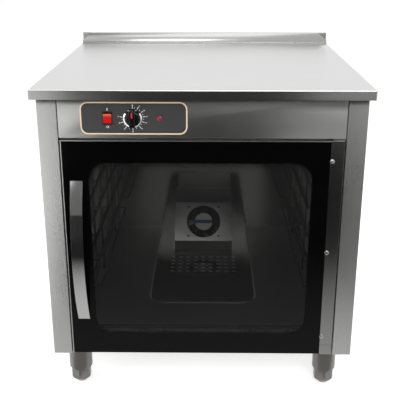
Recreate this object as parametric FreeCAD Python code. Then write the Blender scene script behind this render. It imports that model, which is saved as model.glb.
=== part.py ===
"""Undercounter proofing cabinet: folded stainless body, glass door, levelling feet.

Units are millimetres, +Z is up, the front faces -Y.  Shapes are drawn with Y = 0 at the
front face of the body and Z = 0 on the floor; save() then centres the depth.
"""
import FreeCAD
import Part
import math
import os

V = FreeCAD.Vector

# --- overall sizes ---------------------------------------------------------------
BODY_W = 830.0            # across the side panels
BODY_D = 815.0            # front face to back panel
BODY_H = 728.0            # body edge to underside of the worktop
LEG_H = 115.0             # floor to body edge
TOP_SIDE = 11.5           # worktop overhang, each side
TOP_FRONT = 30.0          # worktop overhang, front
TOP_REAR = 15.0           # worktop overhang, rear
TOP_T = 24.0              # depth of the worktop's folded edge
TOP_HEM = 12.0            # where its front hem ends, over the body
CHANNEL_W = 30.0          # stiffening channels under the top
UPSTAND_H = 35.0
UP_T = 14.0               # depth of the upstand strip's cap
UP_FOOT = 18.0            # depth of its foot on the worktop
UP_CORNER = (30.0, 25.0)  # mitre of its upper corners, across and down
UP_SCREW_X = 315.0
UP_SCREW_D = 7.0
UP_SCREW_H = 2.0

# --- sheet, gaps and fits --------------------------------------------------------
SHEET = 1.2               # body and top sheet
LINER = 1.0               # chamber sheet
GAP = 0.3                 # between pieces that move past each other
RUN = 0.05                # radial play of a turning fit
SLIP = 0.10               # radial play of a sliding fit
JOIN = 0.2                # radial play of a fixed fastener in its hole
OVER = 1.0                # how far a cutting shape runs past the face it opens

# --- front: columns, fascia, door ------------------------------------------------
COLUMN_W = 50.0
RETURN_D = 40.0           # depth of the column's inner return
FASCIA_H = 104.0
DOOR_SIDE_GAP = 3.5
DOOR_TOP_GAP = 6.0
DOOR_LOW_GAP = 2.5
DOOR_T = 30.0
GLASS_T = 4.0
LIP_W = 2.4               # bright edge of the door frame round the glass
FLANGE_W = 52.0           # width of the door frame behind the glass
STRIP_W = 34.0            # hinge-side strip
STRIP_SCREW_Z = (57.0, 311.0, 564.0)      # above the body edge
STRIP_SCREW_D = 11.0
STRIP_SCREW_IN = 4.3      # screw centre in from the strip's inner edge
STRIP_SCREW_BALL = 8.1    # radius of the ball its dome is cut from
STRIP_SCREW_SINK = 5.4    # that ball's centre behind the glass
SCREW_SHANK = 4.0
STRIP_RETURN = 12.0       # strip's fold round the door's right edge
PIVOT_IN = 14.0           # hinge axis in from the door's right edge
PIVOT_BACK = 8.0          # hinge axis behind the door's front face
PIN_D = 8.0
PIN_L = 18.0
BUSH_D = 12.0
BRACKET_T = 2.0
BRACKET_W = 32.0
BRACKET_LEG = 27.0
BRACKET_IN = 2.0          # bracket's near edge behind the body's front face
BLOCK_IN = 12.0           # corner block from the hinge axis
BLOCK_H = 24.0
BLOCK_SHY = 2.0           # corner block short of the door's back
BUSH_OVER = 3.0           # bush longer than the pin in it
PIN_ROOM = 1.0            # bore past the pin's end
CATCH_IN = 7.5            # magnetic catch in from the door's left edge
CATCH_UP = 310.0          # its middle above the body edge
CATCH_W = 12.0
CATCH_H = 60.0
STRIKE_T = 1.5
STRIKE_SHY = (1.0, 2.0)   # strike smaller than the magnet all round, across and down

# --- handle ----------------------------------------------------------------------
HANDLE_IN = 36.5          # its middle in from the door's left edge
HANDLE_Z = (109.0, 509.5)                 # its two ends, above the body edge
HANDLE_W = 31.5
HANDLE_T = 4.0
HANDLE_BOW = 45.0
HANDLE_STUD_D = 6.0
HANDLE_STUD_IN = 11.0     # stud centre in from the strap's end
HANDLE_STUD_L = 6.0       # stud behind the glass and its backing sheet
HANDLE_HOLE_D = 7.0       # hole for it in the glass
HANDLE_NUT_D = 12.0
HANDLE_NUT_T = 4.0
BOSS_D = 12.0             # bosses between the strap and the glass

# --- chamber ---------------------------------------------------------------------
SIDE_WALL = 75.0          # body side to the chamber's wall
FLOOR_H = 70.0            # chamber floor above the body edge
CEILING_DROP = 143.0      # underside of the worktop to the chamber ceiling
BACK_WALL = 22.0          # chamber back wall to the body's back face
TOP_PAD = 30.0
GASKET_W = 6.5

# --- controls, measured from the left column and the worktop's underside -----------
PLATE_IN = 58.5           # plate's left end from the column
PLATE_W = 270.0
PLATE_H = 84.0
CONTROL_DROP = 52.4       # worktop's underside to the middle of the controls
PLATE_R = 20.0
PLATE_T = 1.0
ROCKER_IN = 69.0          # switch, dial and lamp from the plate's left end
KNOB_IN = 132.5
LAMP_IN = 200.0
ROCKER_W = 21.0
ROCKER_HALF = 13.7
ROCKER_FACE = 4.5         # face in front of the rocker's pivot
ROCKER_TILT = 12.0
ROCKER_PIN_D = 3.0
BEZEL_W = 24.5
BEZEL_H = 33.0
BEZEL_T = 1.5
BEZEL_LAP = 0.6           # bezel laps the plate all round
SWITCH_D = 26.0
KNOB_D = 47.5
KNOB_OUT = 25.0           # how far it stands out from the plate
SHAFT_D = 6.0
KNOB_SKIRT = 6.0          # depth of its skirt
KNOB_CONE = 8.0           # depth of the drum on the skirt
KNOB_CONE_IN = (1.5, 4.5) # drum in from the skirt's rim, at its back and front
KNOB_GRIP_W = 16.0
KNOB_GRIP_R = 5.0         # rounding of the grip bar's ends
KNOB_GRIP_IN = 4.0        # grip bar's ends in from the rim
KNOB_BORE_IN = 16.0
BUSHING_D = 9.8
SHAFT_IN = 16.0           # shaft behind the body's front face
LAMP_D = 12.8
LAMP_OUT = 3.0
LAMP_ROUND = 2.0
LAMP_BODY_D = 10.0
LAMP_BODY_L = 24.0        # lamp body behind the body's front face
THERMO_SIZE = 42.0
THERMO_D = 28.0
CAPILLARY_D = 2.4
PROBE_D = 6.5
PROBE_L = 80.0
PROBE_DROP = 10.0         # bulb's top below the chamber ceiling
PROBE_BACK = 22.0         # bulb in front of the chamber's back wall
ROCKER_Y = 0.5            # rocker's pivot behind the body's front face
ROCKER_ROOM = 8.0         # pocket behind the pivot
ROCKER_SEAT = 0.4         # pin's ends let into the housing
ROCKER_DISH = 1.4         # hollow across the face
ROCKER_EDGE = 0.8
ROCKER_TAIL = (2.8, 3.5)  # flat behind the pivot: how far behind, half its height
TAB_W = 4.8               # switch terminals
TAB_T = 0.8
TAB_L = 9.0
TAB_OFF = 5.0             # each side of the switch's middle

# --- heater cover, console and fan ------------------------------------------------
COVER_W = 320.0
COVER_FRONT = 150.0       # its near edge behind the body's front face
COVER_H = 14.0
COVER_R = 50.0
COVER_HEM = 3.5           # depth of its front edge, over the mouth that lets air out
AIR_SIDE = 20.0           # edges of the air hole beneath the console
AIR_FRONT = 40.0
AIR_REAR = 30.0
COVER_SLOTS = (9, 5)      # across, deep
SLOT_AREA = (200.0, 110.0)
SLOT_FRONT = 365.0
SLOT_SIZE = (12.0, 4.0)
CONSOLE_W = 198.0
CONSOLE_FRONT = 540.0
CONSOLE_LIP = 33.0
CONSOLE_RUN = 85.0        # level length of the sloped face
CONSOLE_RISE = 110.0      # its height
CONSOLE_FLANGE = 12.0
CONSOLE_SKIRT = 30.0      # flange in front of the lip
FAN_SIZE = 119.0
FAN_T = 25.0
FAN_BORE = 116.0
FAN_PITCH = 104.8
FAN_HUB = 62.0
FAN_SCREW_D = 4.0
BLADES = 7
STRUT_W = 7.0
STATOR_T = 5.0            # depth of the hub and struts in front of the rotor
FAN_SHAFT_D = 8.0
ROTOR_GAP = 1.0
BLADE_GAP = 1.5
BLADE_T = 1.6
BLADE_PITCH = 35.0
BLADE_HALF = 17.0
FAN_HEAD_D = 8.0
FAN_HEAD_H = 2.2
HEATER_D = 6.5
HEATER_UP = 6.0           # tube's centre above the chamber floor
HEATER_X = 90.0           # outermost runs, each side of the middle
HEATER_Y = (330.0, 700.0)
HEATER_RUNS = 4
CLIP_IN = 60.0            # clips in from the runs' ends
CLIP_HALF = (7.0, 4.0)
CLIP_OVER = 1.5           # clip above the tube

# --- wire racks ------------------------------------------------------------------
RACK_LEVELS = 5
RACK_PITCH = 78.0
RACK_FIRST = 95.0         # lowest ledge above the chamber floor
RACK_ROD = 6.0
LEDGE_ROD = 5.0
RACK_OFF = 12.0           # upright centre in from the chamber wall
LEDGE_IN = 34.0           # reach of a ledge from the uprights
RACK_Y = (95.0, 735.0)
RACK_TOP = 25.0           # uprights above the highest ledge
LUG_HALF = 6.0            # lugs that screw to the chamber wall
LUG_LOW = 50.0            # lower lug above the floor
LUG_HIGH = 12.0           # upper lug below the upright's end

# --- legs ------------------------------------------------------------------------
LEG_SIDE = 64.0           # leg centre in from the body's side
LEG_IN = 50.0             # leg centre in from front and back
SLEEVE_D = 65.0
SLEEVE_H = 66.0
FOOT_D = 57.0
FOOT_TIP = 27.0
FOOT_CHAMFER = 15.0
FOOT_TRAVEL = 25.0        # how far a foot screws out
FOOT_STAY = 20.0          # length of foot left inside its sleeve then
FOOT_FLATS = 6
FLAT_DEPTH = 1.6
FLAT_TOP = 6.0            # flats end this far below the sleeve
SLEEVE_ROOF = 8.0
LEG_STUD_D = 10.0
LEG_NUT_D = 17.0
LEG_NUT_T = 8.0
LEG_STUD_H = 14.0
LEG_WELL = 5.0            # room round a leg nut in the floor wool
BASE_LIP = 30.0           # rear lip of the base tray

# --- services --------------------------------------------------------------------
GLAND_SIDE = 85.0         # gland in from the body's right side
GLAND_DROP = 38.0         # gland below the worktop's underside
GLAND_D = 16.0
GLAND_BORE = 8.0
GLAND_OUT = 12.0
GLAND_REST = 10.0         # gland's threaded part inside the body
GLAND_RIM = 6.0           # its head wider than the thread
GLAND_NUT = (7.0, 5.0)    # locknut: wider than the thread, thickness
BLOCK_OFF = 70.0          # terminal block beside the gland
BLOCK_SIZE = (50.0, 18.0, 20.0)
WELL_PITCH = 16.0
WELL_D = 7.0
WELL_L = 10.0

# --- derived ---------------------------------------------------------------------
BODY_Z1 = LEG_H + BODY_H
UP_Y = BODY_D + TOP_REAR - SHEET            # front of the worktop's rear fold
FOOT_IN = FOOT_TRAVEL + FOOT_STAY
TOP_Z = BODY_Z1 + TOP_T
HALF = BODY_W / 2
OPEN_X = HALF - COLUMN_W                    # half width between the columns
FASCIA_Z = BODY_Z1 - FASCIA_H
DOOR_X = OPEN_X - DOOR_SIDE_GAP
DOOR_Z0 = LEG_H + DOOR_LOW_GAP
DOOR_Z1 = FASCIA_Z - DOOR_TOP_GAP
FRAME_Y = RETURN_D                          # front of the chamber frame
CH_X = HALF - SIDE_WALL
CH_Y0 = FRAME_Y + SHEET
CH_Y1 = BODY_D - BACK_WALL
CH_Z0 = LEG_H + FLOOR_H
CH_Z1 = BODY_Z1 - CEILING_DROP
PROBE_Y = CH_Y1 - PROBE_BACK
STRIP_X = DOOR_X - STRIP_W
PIVOT_X = DOOR_X - PIVOT_IN
CTRL_Z = BODY_Z1 - CONTROL_DROP
PLATE_X0 = -OPEN_X + PLATE_IN
ROCKER_X = PLATE_X0 + ROCKER_IN
KNOB_X = PLATE_X0 + KNOB_IN
LAMP_X = PLATE_X0 + LAMP_IN
HANDLE_X = -DOOR_X + HANDLE_IN
LEG_X = HALF - LEG_SIDE
GLAND_X = HALF - GLAND_SIDE
GLAND_Z = BODY_Z1 - GLAND_DROP
COVER_Z = CH_Z0 + COVER_H
HEATER_Z = CH_Z0 + HEATER_UP
SHIFT_Y = (HANDLE_BOW - BODY_D - TOP_REAR) / 2   # centres the depth on Y = 0


# --- helpers ---------------------------------------------------------------------
def box(x0, x1, y0, y1, z0, z1):
    return Part.makeBox(x1 - x0, y1 - y0, z1 - z0, V(x0, y0, z0))


def rod(start, end, dia):
    start = V(*start)
    run = V(*end) - start
    return Part.makeCylinder(dia / 2, run.Length, start, run)


def fuse(shapes):
    whole = shapes[0]
    if len(shapes) > 1:
        whole = whole.fuse(shapes[1:])
    return whole.removeSplitter()


def cut(shape, tools):
    return shape.cut(tools)


def face_xz(points, y):
    loop = [V(x, y, z) for x, z in points]
    return Part.Face(Part.makePolygon(loop + loop[:1]))


def prism_x(points, x0, x1):
    """Solid from (y, z) points, drawn out from x0 to x1."""
    loop = [V(x0, y, z) for y, z in points]
    return Part.Face(Part.makePolygon(loop + loop[:1])).extrude(V(x1 - x0, 0, 0))


def rounded_box(x0, x1, y0, y1, z0, z1, radius, axis):
    """Box whose four edges along the given axis letter are rounded."""
    solid = box(x0, x1, y0, y1, z0, z1)
    way = {"x": V(1, 0, 0), "y": V(0, 1, 0), "z": V(0, 0, 1)}[axis]
    edges = []
    for edge in solid.Edges:
        line = edge.Vertexes[1].Point - edge.Vertexes[0].Point
        if line.cross(way).Length < 1e-6 * line.Length:
            edges.append(edge)
    return solid.makeFillet(radius, edges)


def mirrored(shape):
    return shape.mirror(V(0, 0, 0), V(1, 0, 0))


def save(name, shape):
    """Centre a copy of the piece on the body's depth and write its STEP file."""
    shape = shape.copy()
    shape.translate(V(0, SHIFT_Y, 0))
    shape.exportStep("parts/" + name + ".step")


# --- worktop ---------------------------------------------------------------------
def worktop():
    """Tray-shaped top: flat sheet, edges folded down, rear edge folded up."""
    x, y0, y1 = HALF + TOP_SIDE, -TOP_FRONT, BODY_D + TOP_REAR
    parts = [
        box(-x, x, y0, y1, TOP_Z - SHEET, TOP_Z),
        box(-x, x, y0, y0 + SHEET, BODY_Z1, TOP_Z),
        box(-x, x, y0, TOP_HEM, BODY_Z1, BODY_Z1 + SHEET),
        box(-x, -x + SHEET, y0, y1, BODY_Z1, TOP_Z),
        box(x - SHEET, x, y0, y1, BODY_Z1, TOP_Z),
        box(-x, x, y1 - SHEET, y1, BODY_Z1, TOP_Z + UPSTAND_H),
    ]
    for inset in (0.25, 0.5, 0.75):             # stiffening channels under the sheet
        mid = y0 + inset * (y1 - y0)
        lo, hi = mid - CHANNEL_W / 2, mid + CHANNEL_W / 2
        parts.append(box(-x, x, lo, hi, BODY_Z1, BODY_Z1 + SHEET))
        parts += [box(-x, x, y, y + SHEET, BODY_Z1, TOP_Z) for y in (lo, hi - SHEET)]
    return fuse(parts)


def upstand_strip():
    """Folded strip with mitred top corners that stands in front of the rear fold."""
    x, z = HALF + TOP_SIDE, TOP_Z + UPSTAND_H
    cx, cz = UP_CORNER
    outline = [(-x, TOP_Z), (x, TOP_Z), (x, z - cz), (x - cx, z), (cx - x, z), (-x, z - cz)]
    front = UP_Y - UP_T
    face = face_xz(outline, front).extrude(V(0, SHEET, 0))
    cap = box(cx - x, x - cx, front, UP_Y, z - SHEET, z)
    foot = box(-x, x, front - UP_FOOT, front, TOP_Z, TOP_Z + SHEET)
    holes = [rod((s * UP_SCREW_X, front - UP_FOOT / 2, TOP_Z - 1), (s * UP_SCREW_X, front - UP_FOOT / 2,
             TOP_Z + 3), UP_SCREW_D / 2 + 2 * JOIN) for s in (-1, 1)]
    return cut(fuse([face, cap, foot]), holes)


def upstand_screws():
    """The two small screws that hold the strip's foot to the worktop."""
    y = UP_Y - UP_T - UP_FOOT / 2
    out = []
    for side in (-1, 1):
        x = side * UP_SCREW_X
        shank = rod((x, y, TOP_Z), (x, y, TOP_Z + SHEET + 0.5), UP_SCREW_D / 2)
        head = rod((x, y, TOP_Z + SHEET), (x, y, TOP_Z + SHEET + UP_SCREW_H), UP_SCREW_D)
        top = [e for e in head.Edges if abs(e.BoundBox.ZMin - head.BoundBox.ZMax) < 0.01]
        out.append(fuse([head.makeFillet(UP_SCREW_H * 0.7, top), shank]))
    return Part.makeCompound(out)


# --- body shell ------------------------------------------------------------------
def side_panel():
    """Left panel: outer wall, column front and the return that faces the door."""
    y_in = BODY_D
    return fuse([
        box(-HALF, -HALF + SHEET, 0, y_in, LEG_H, BODY_Z1),
        box(-HALF, -OPEN_X, 0, SHEET, LEG_H, BODY_Z1),
        box(-OPEN_X - SHEET, -OPEN_X, 0, RETURN_D, LEG_H, BODY_Z1),
    ])


def back_panel():
    """Flat rear sheet between the side panels, with the cable gland's hole."""
    sheet = box(-HALF + SHEET, HALF - SHEET, BODY_D - SHEET, BODY_D, LEG_H + SHEET, BODY_Z1)
    z = GLAND_Z
    hole = rod((GLAND_X, BODY_D - 5, z), (GLAND_X, BODY_D + 5, z), GLAND_D + 2 * JOIN)
    return cut(sheet, [hole])


def leg_spots():
    return [(sx * LEG_X, y) for y in (LEG_IN, BODY_D - LEG_IN) for sx in (-1, 1)]


def base_panel():
    """Bottom tray that carries the legs; its front edge stops behind the door."""
    x = HALF - SHEET
    parts = [
        box(-x, x, RETURN_D, BODY_D, LEG_H, LEG_H + SHEET),
        box(-x, x, BODY_D - 2 * SHEET, BODY_D - SHEET, LEG_H, LEG_H + BASE_LIP),
        box(-x, -OPEN_X - SHEET, SHEET, RETURN_D, LEG_H, LEG_H + SHEET),
        box(OPEN_X + SHEET, x, SHEET, RETURN_D, LEG_H, LEG_H + SHEET),
    ]
    holes = [rod((lx, ly, LEG_H - 1), (lx, ly, LEG_H + 5), LEG_STUD_D + 2 * JOIN) for lx, ly in leg_spots()]
    return cut(fuse(parts), holes)


def control_fascia():
    """Front of the control compartment, folded back under and over."""
    x = OPEN_X
    sheet = fuse([
        box(-x, x, 0, SHEET, FASCIA_Z, BODY_Z1),
        box(-x, x, 0, RETURN_D, FASCIA_Z, FASCIA_Z + SHEET),
        box(-x, x, 0, RETURN_D, BODY_Z1 - SHEET, BODY_Z1),
    ])
    return cut(sheet, control_holes())


def control_holes():
    """Openings for the switch, the dial shaft and the lamp, through plate and fascia."""
    y0, y1 = -PLATE_T - 1, SHEET + 1
    wide = BEZEL_W / 2 - BEZEL_LAP + JOIN
    tall = BEZEL_H / 2 - BEZEL_LAP + JOIN
    return [
        box(ROCKER_X - wide, ROCKER_X + wide, y0, y1, CTRL_Z - tall, CTRL_Z + tall),
        rod((KNOB_X, y0, CTRL_Z), (KNOB_X, y1, CTRL_Z), BUSHING_D + 2 * JOIN),
        rod((LAMP_X, y0, CTRL_Z), (LAMP_X, y1, CTRL_Z), LAMP_BODY_D + 2 * JOIN),
    ]


def control_plate():
    plate = rounded_box(PLATE_X0, PLATE_X0 + PLATE_W, -PLATE_T, 0, CTRL_Z - PLATE_H / 2,
                        CTRL_Z + PLATE_H / 2, PLATE_R, "y")
    return cut(plate, control_holes())


# --- chamber ---------------------------------------------------------------------
def chamber_frame():
    """Front ring that closes the walls between body and chamber; the door shuts on it."""
    x = HALF - SHEET
    ring = box(-x, x, FRAME_Y, FRAME_Y + SHEET, LEG_H + SHEET, FASCIA_Z + SHEET)
    return cut(ring, [box(-CH_X, CH_X, FRAME_Y - 1, FRAME_Y + 5, CH_Z0, CH_Z1)])


def chamber_wall():
    """Left wall of the chamber."""
    return box(-CH_X - LINER, -CH_X, CH_Y0, CH_Y1, CH_Z0 - LINER, CH_Z1 + LINER)


def chamber_back():
    x = CH_X + LINER
    return box(-x, x, CH_Y1, CH_Y1 + LINER, CH_Z0 - LINER, CH_Z1 + LINER)


def chamber_ceiling():
    sheet = box(-CH_X, CH_X, CH_Y0, CH_Y1, CH_Z1, CH_Z1 + LINER)
    hole = rod((KNOB_X, PROBE_Y, CH_Z1 - 1), (KNOB_X, PROBE_Y, CH_Z1 + 3), CAPILLARY_D + 2 * JOIN)
    return cut(sheet, [hole])


def chamber_floor():
    return box(-CH_X, CH_X, CH_Y0, CH_Y1, CH_Z0 - LINER, CH_Z0)


def insulation_side():
    """Mineral wool between the left panel and the chamber wall."""
    return box(-HALF + SHEET, -CH_X - LINER, CH_Y0, CH_Y1 + LINER, CH_Z0 - LINER, CH_Z1 + LINER)


def insulation_back():
    x = HALF - SHEET
    return box(-x, x, CH_Y1 + LINER, BODY_D - 2 * SHEET, CH_Z0 - LINER, CH_Z1 + LINER)


def insulation_top():
    x = HALF - SHEET
    slab = box(-x, x, CH_Y0, BODY_D - 2 * SHEET, CH_Z1 + LINER, CH_Z1 + TOP_PAD)
    hole = rod((KNOB_X, PROBE_Y, CH_Z1), (KNOB_X, PROBE_Y, CH_Z1 + TOP_PAD + 1), CAPILLARY_D + 2 * JOIN)
    return cut(slab, [hole])


def insulation_floor():
    """Floor wool, notched round the leg studs and their nuts."""
    x = HALF - SHEET
    slab = box(-x, x, CH_Y0, BODY_D - 2 * SHEET, LEG_H + SHEET, CH_Z0 - LINER)
    wells = [rod((lx, ly, LEG_H), (lx, ly, LEG_H + LEG_STUD_H + LEG_WELL), LEG_NUT_D + 2 * LEG_WELL)
             for lx, ly in leg_spots()]
    return cut(slab, wells)


def door_gasket():
    """Ring of silicone on the back of the door that closes on the chamber frame."""
    outer = box(-CH_X - GASKET_W, CH_X + GASKET_W, DOOR_T, FRAME_Y - GAP,
                CH_Z0 - GASKET_W, CH_Z1 + GASKET_W)
    inner = box(-CH_X, CH_X, 0, FRAME_Y + 1, CH_Z0, CH_Z1)
    return cut(outer, [inner])


# --- wire racks ------------------------------------------------------------------
def rack(side):
    """Rack on one side (-1 left, 1 right): three uprights, closed wire ledges against them."""
    x = side * (CH_X - RACK_OFF)
    xo = x - side * (RACK_ROD + LEDGE_ROD) / 2  # a ledge's outer wire lies on the uprights
    xi = xo - side * LEDGE_IN
    wall = sorted((x, side * CH_X))
    y0, y1 = RACK_Y
    z_top = CH_Z0 + RACK_FIRST + (RACK_LEVELS - 1) * RACK_PITCH + RACK_TOP
    parts = []
    for y in (y0, (y0 + y1) / 2, y1):
        upright = [rod((x, y, CH_Z0), (x, y, z_top), RACK_ROD)]
        for z in (CH_Z0 + LUG_LOW, z_top - LUG_HIGH):
            upright.append(box(wall[0], wall[1], y - LUG_HALF, y + LUG_HALF, z - LUG_HALF, z + LUG_HALF))
        parts.append(fuse(upright))
    for level in range(RACK_LEVELS):
        z = CH_Z0 + RACK_FIRST + level * RACK_PITCH
        corners = [(xo, y0, z), (xi, y0, z), (xi, y1, z), (xo, y1, z)]
        wire = [rod(corners[i], corners[(i + 1) % 4], LEDGE_ROD) for i in range(4)]
        wire += [Part.makeSphere(LEDGE_ROD / 2, V(*corner)) for corner in corners]
        parts.append(fuse(wire))
    return Part.makeCompound(parts)


# --- heater cover, heater --------------------------------------------------------
def heater_cover():
    """Shallow pan turned over on the floor: open in front, slotted above the heater."""
    x = COVER_W / 2
    outer = box(-x, x, COVER_FRONT, CH_Y1, CH_Z0, COVER_Z)
    inner = box(-x + SHEET, x - SHEET, COVER_FRONT + SHEET, CH_Y1 + OVER, CH_Z0 - OVER, COVER_Z - SHEET)
    corners = [e for e in outer.Edges if abs(e.BoundBox.ZLength - COVER_H) < 0.01
               and e.BoundBox.YMax < COVER_FRONT + 1]
    outer = outer.makeFillet(COVER_R, corners)
    corners = [e for e in inner.Edges if e.BoundBox.ZLength > COVER_H / 2
               and e.BoundBox.YMax < COVER_FRONT + 5]
    inner = inner.makeFillet(COVER_R - SHEET, corners)
    tools = [inner]
    deep_in, over = COVER_Z - SHEET - OVER, COVER_Z + OVER
    across, deep = COVER_SLOTS
    for i in range(across):
        for j in range(deep):
            sx = -SLOT_AREA[0] / 2 + i * SLOT_AREA[0] / (across - 1)
            sy = SLOT_FRONT + j * SLOT_AREA[1] / (deep - 1)
            tools.append(box(sx - SLOT_SIZE[0] / 2, sx + SLOT_SIZE[0] / 2, sy - SLOT_SIZE[1] / 2,
                             sy + SLOT_SIZE[1] / 2, deep_in, over))
    air = CONSOLE_W / 2 - AIR_SIDE
    tools.append(box(-air, air, CONSOLE_FRONT + AIR_FRONT, CH_Y1 - AIR_REAR, deep_in, over))
    tools.append(box(-x - OVER, x + OVER, COVER_FRONT - OVER, COVER_FRONT + COVER_R,
                     CH_Z0 - OVER, COVER_Z - COVER_HEM))
    return cut(outer, tools)


def heater_rows():
    step = 2 * HEATER_X / (HEATER_RUNS - 1)
    return [-HEATER_X + i * step for i in range(HEATER_RUNS)]


def heater_element():
    """One metal-clad tube bent to and fro under the cover."""
    rows = heater_rows()
    y0, y1 = HEATER_Y
    parts = [rod((x, y0, HEATER_Z), (x, y1, HEATER_Z), HEATER_D) for x in rows]
    for i in range(HEATER_RUNS - 1):
        a, b = rows[i], rows[i + 1]
        y, out = (y0, math.pi) if i % 2 else (y1, 0.0)
        ring = Part.makeTorus((b - a) / 2, HEATER_D / 2, V((a + b) / 2, y, HEATER_Z), V(0, 0, 1))
        keep = box(a - HEATER_D, b + HEATER_D, y - (b - a) if out else y, y if out else y + (b - a),
                   HEATER_Z - HEATER_D, HEATER_Z + HEATER_D)
        parts.append(ring.common(keep))
    return fuse(parts)


def heater_clips():
    """Saddles that hold the heater's runs to the chamber floor."""
    out = []
    for x in heater_rows():
        for y in (HEATER_Y[0] + CLIP_IN, HEATER_Y[1] - CLIP_IN):
            wide, deep = CLIP_HALF
            top = HEATER_Z + HEATER_D / 2 + CLIP_OVER
            block = box(x - wide, x + wide, y - deep, y + deep, CH_Z0, top)
            tube = rod((x, y - deep - OVER, HEATER_Z), (x, y + deep + OVER, HEATER_Z), HEATER_D)
            out.append(cut(block, [tube]))
    return Part.makeCompound(out)


# --- fan console and fan ---------------------------------------------------------
TILT = math.degrees(math.atan2(CONSOLE_RUN, CONSOLE_RISE))
CONSOLE_TOP = COVER_Z + CONSOLE_LIP + CONSOLE_RISE
FAN_Y = CONSOLE_FRONT + CONSOLE_RUN / 2
FAN_Z = COVER_Z + CONSOLE_LIP + CONSOLE_RISE / 2


def lean(shape):
    """Carry a shape drawn upright, front face at Y = 0, to the console's sloped face."""
    shape = shape.copy()
    shape.rotate(V(0, 0, 0), V(1, 0, 0), -TILT)
    shape.translate(V(0, FAN_Y, FAN_Z))
    return shape


def console_profile(inset, rear):
    """Side outline of the console, moved inwards by a sheet's thickness."""
    y0 = CONSOLE_FRONT + inset
    top = CONSOLE_TOP - inset
    drop = inset * math.tan(math.radians(TILT / 2))
    lip = COVER_Z + CONSOLE_LIP - drop
    edge = CONSOLE_FRONT + CONSOLE_RUN + inset * math.tan(math.radians((90 - TILT) / 2))
    return [(y0, COVER_Z), (y0, lip), (edge, top), (rear, top), (rear, COVER_Z)]


def fan_console():
    """Sheet hood on the heater cover; its sloped front carries the fan."""
    x = CONSOLE_W / 2
    shell = cut(prism_x(console_profile(0, CH_Y1), -x, x),
                [prism_x(console_profile(SHEET, CH_Y1 + 1), -x + SHEET, x - SHEET)])
    wide = x + CONSOLE_FLANGE
    foot = box(-wide, wide, CONSOLE_FRONT - CONSOLE_SKIRT, CH_Y1, COVER_Z, COVER_Z + SHEET)
    foot = cut(foot, [box(-x + SHEET, x - SHEET, CONSOLE_FRONT + SHEET, CH_Y1 + OVER,
                          COVER_Z - OVER, COVER_Z + CONSOLE_RISE)])
    holes = [lean(rod((0, -2, 0), (0, 8, 0), FAN_BORE))]
    holes += [lean(rod((fx, -2, fz), (fx, 8, fz), FAN_SCREW_D + 2 * JOIN)) for fx, fz in fan_corners()]
    return cut(fuse([shell, foot]), holes)


def fan_corners():
    half = FAN_PITCH / 2
    return [(sx * half, sz * half) for sx in (-1, 1) for sz in (-1, 1)]


FAN_BACK = SHEET + FAN_T


def fan_frame():
    """Square fan housing with its motor hub on four struts."""
    half = FAN_SIZE / 2
    body = rounded_box(-half, half, SHEET, FAN_BACK, -half, half, 4.0, "y")
    body = cut(body, [rod((0, 0, 0), (0, FAN_BACK + 1, 0), FAN_BORE)])
    hub = rod((0, SHEET, 0), (0, SHEET + STATOR_T, 0), FAN_HUB)
    post = rod((0, SHEET, 0), (0, FAN_BACK - 5, 0), FAN_SHAFT_D - 2 * RUN)
    struts = []
    for turn in (45, 135, 225, 315):
        bar = box(FAN_HUB / 2 - 2, FAN_BORE / 2 + 1, SHEET, SHEET + STATOR_T, -STRUT_W / 2, STRUT_W / 2)
        bar.rotate(V(0, 0, 0), V(0, 1, 0), turn)
        struts.append(bar)
    holes = [rod((fx, 0, fz), (fx, FAN_BACK + 1, fz), FAN_SCREW_D) for fx, fz in fan_corners()]
    return lean(cut(fuse([body, hub, post] + struts), holes))


def fan_impeller():
    """Seven pitched blades on a hub that turns on the motor's post."""
    y0 = SHEET + STATOR_T + ROTOR_GAP
    y1 = FAN_BACK - 1.0
    hub = rod((0, y0, 0), (0, y1, 0), FAN_HUB - 2.0)
    reach = FAN_BORE / 2 - BLADE_GAP
    mid = (y0 + y1) / 2
    swept = rod((0, y0, 0), (0, y1, 0), 2 * reach)
    blades = []
    for i in range(BLADES):
        blade = box(FAN_HUB / 2 - 4, reach + 2, mid - BLADE_T / 2, mid + BLADE_T / 2,
                    -BLADE_HALF, BLADE_HALF)
        blade.rotate(V(0, mid, 0), V(1, 0, 0), BLADE_PITCH)
        blade.rotate(V(0, 0, 0), V(0, 1, 0), i * 360.0 / BLADES)
        blades.append(blade.common(swept))
    return lean(cut(fuse([hub] + blades), [rod((0, y0 - 1, 0), (0, y1 - 3.0, 0), FAN_SHAFT_D)]))


def fan_screws():
    """Four pan-head screws through the console into the fan's corners."""
    out = []
    for fx, fz in fan_corners():
        head = rod((fx, -FAN_HEAD_H, fz), (fx, 0, fz), FAN_HEAD_D)
        rim = [e for e in head.Edges if abs(e.BoundBox.YMax + FAN_HEAD_H) < 0.01]
        shank = rod((fx, 0, fz), (fx, FAN_T * 0.8, fz), FAN_SCREW_D)
        out.append(fuse([lean(head.makeFillet(FAN_HEAD_H / 2, rim)), lean(shank)]))
    return Part.makeCompound(out)


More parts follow.
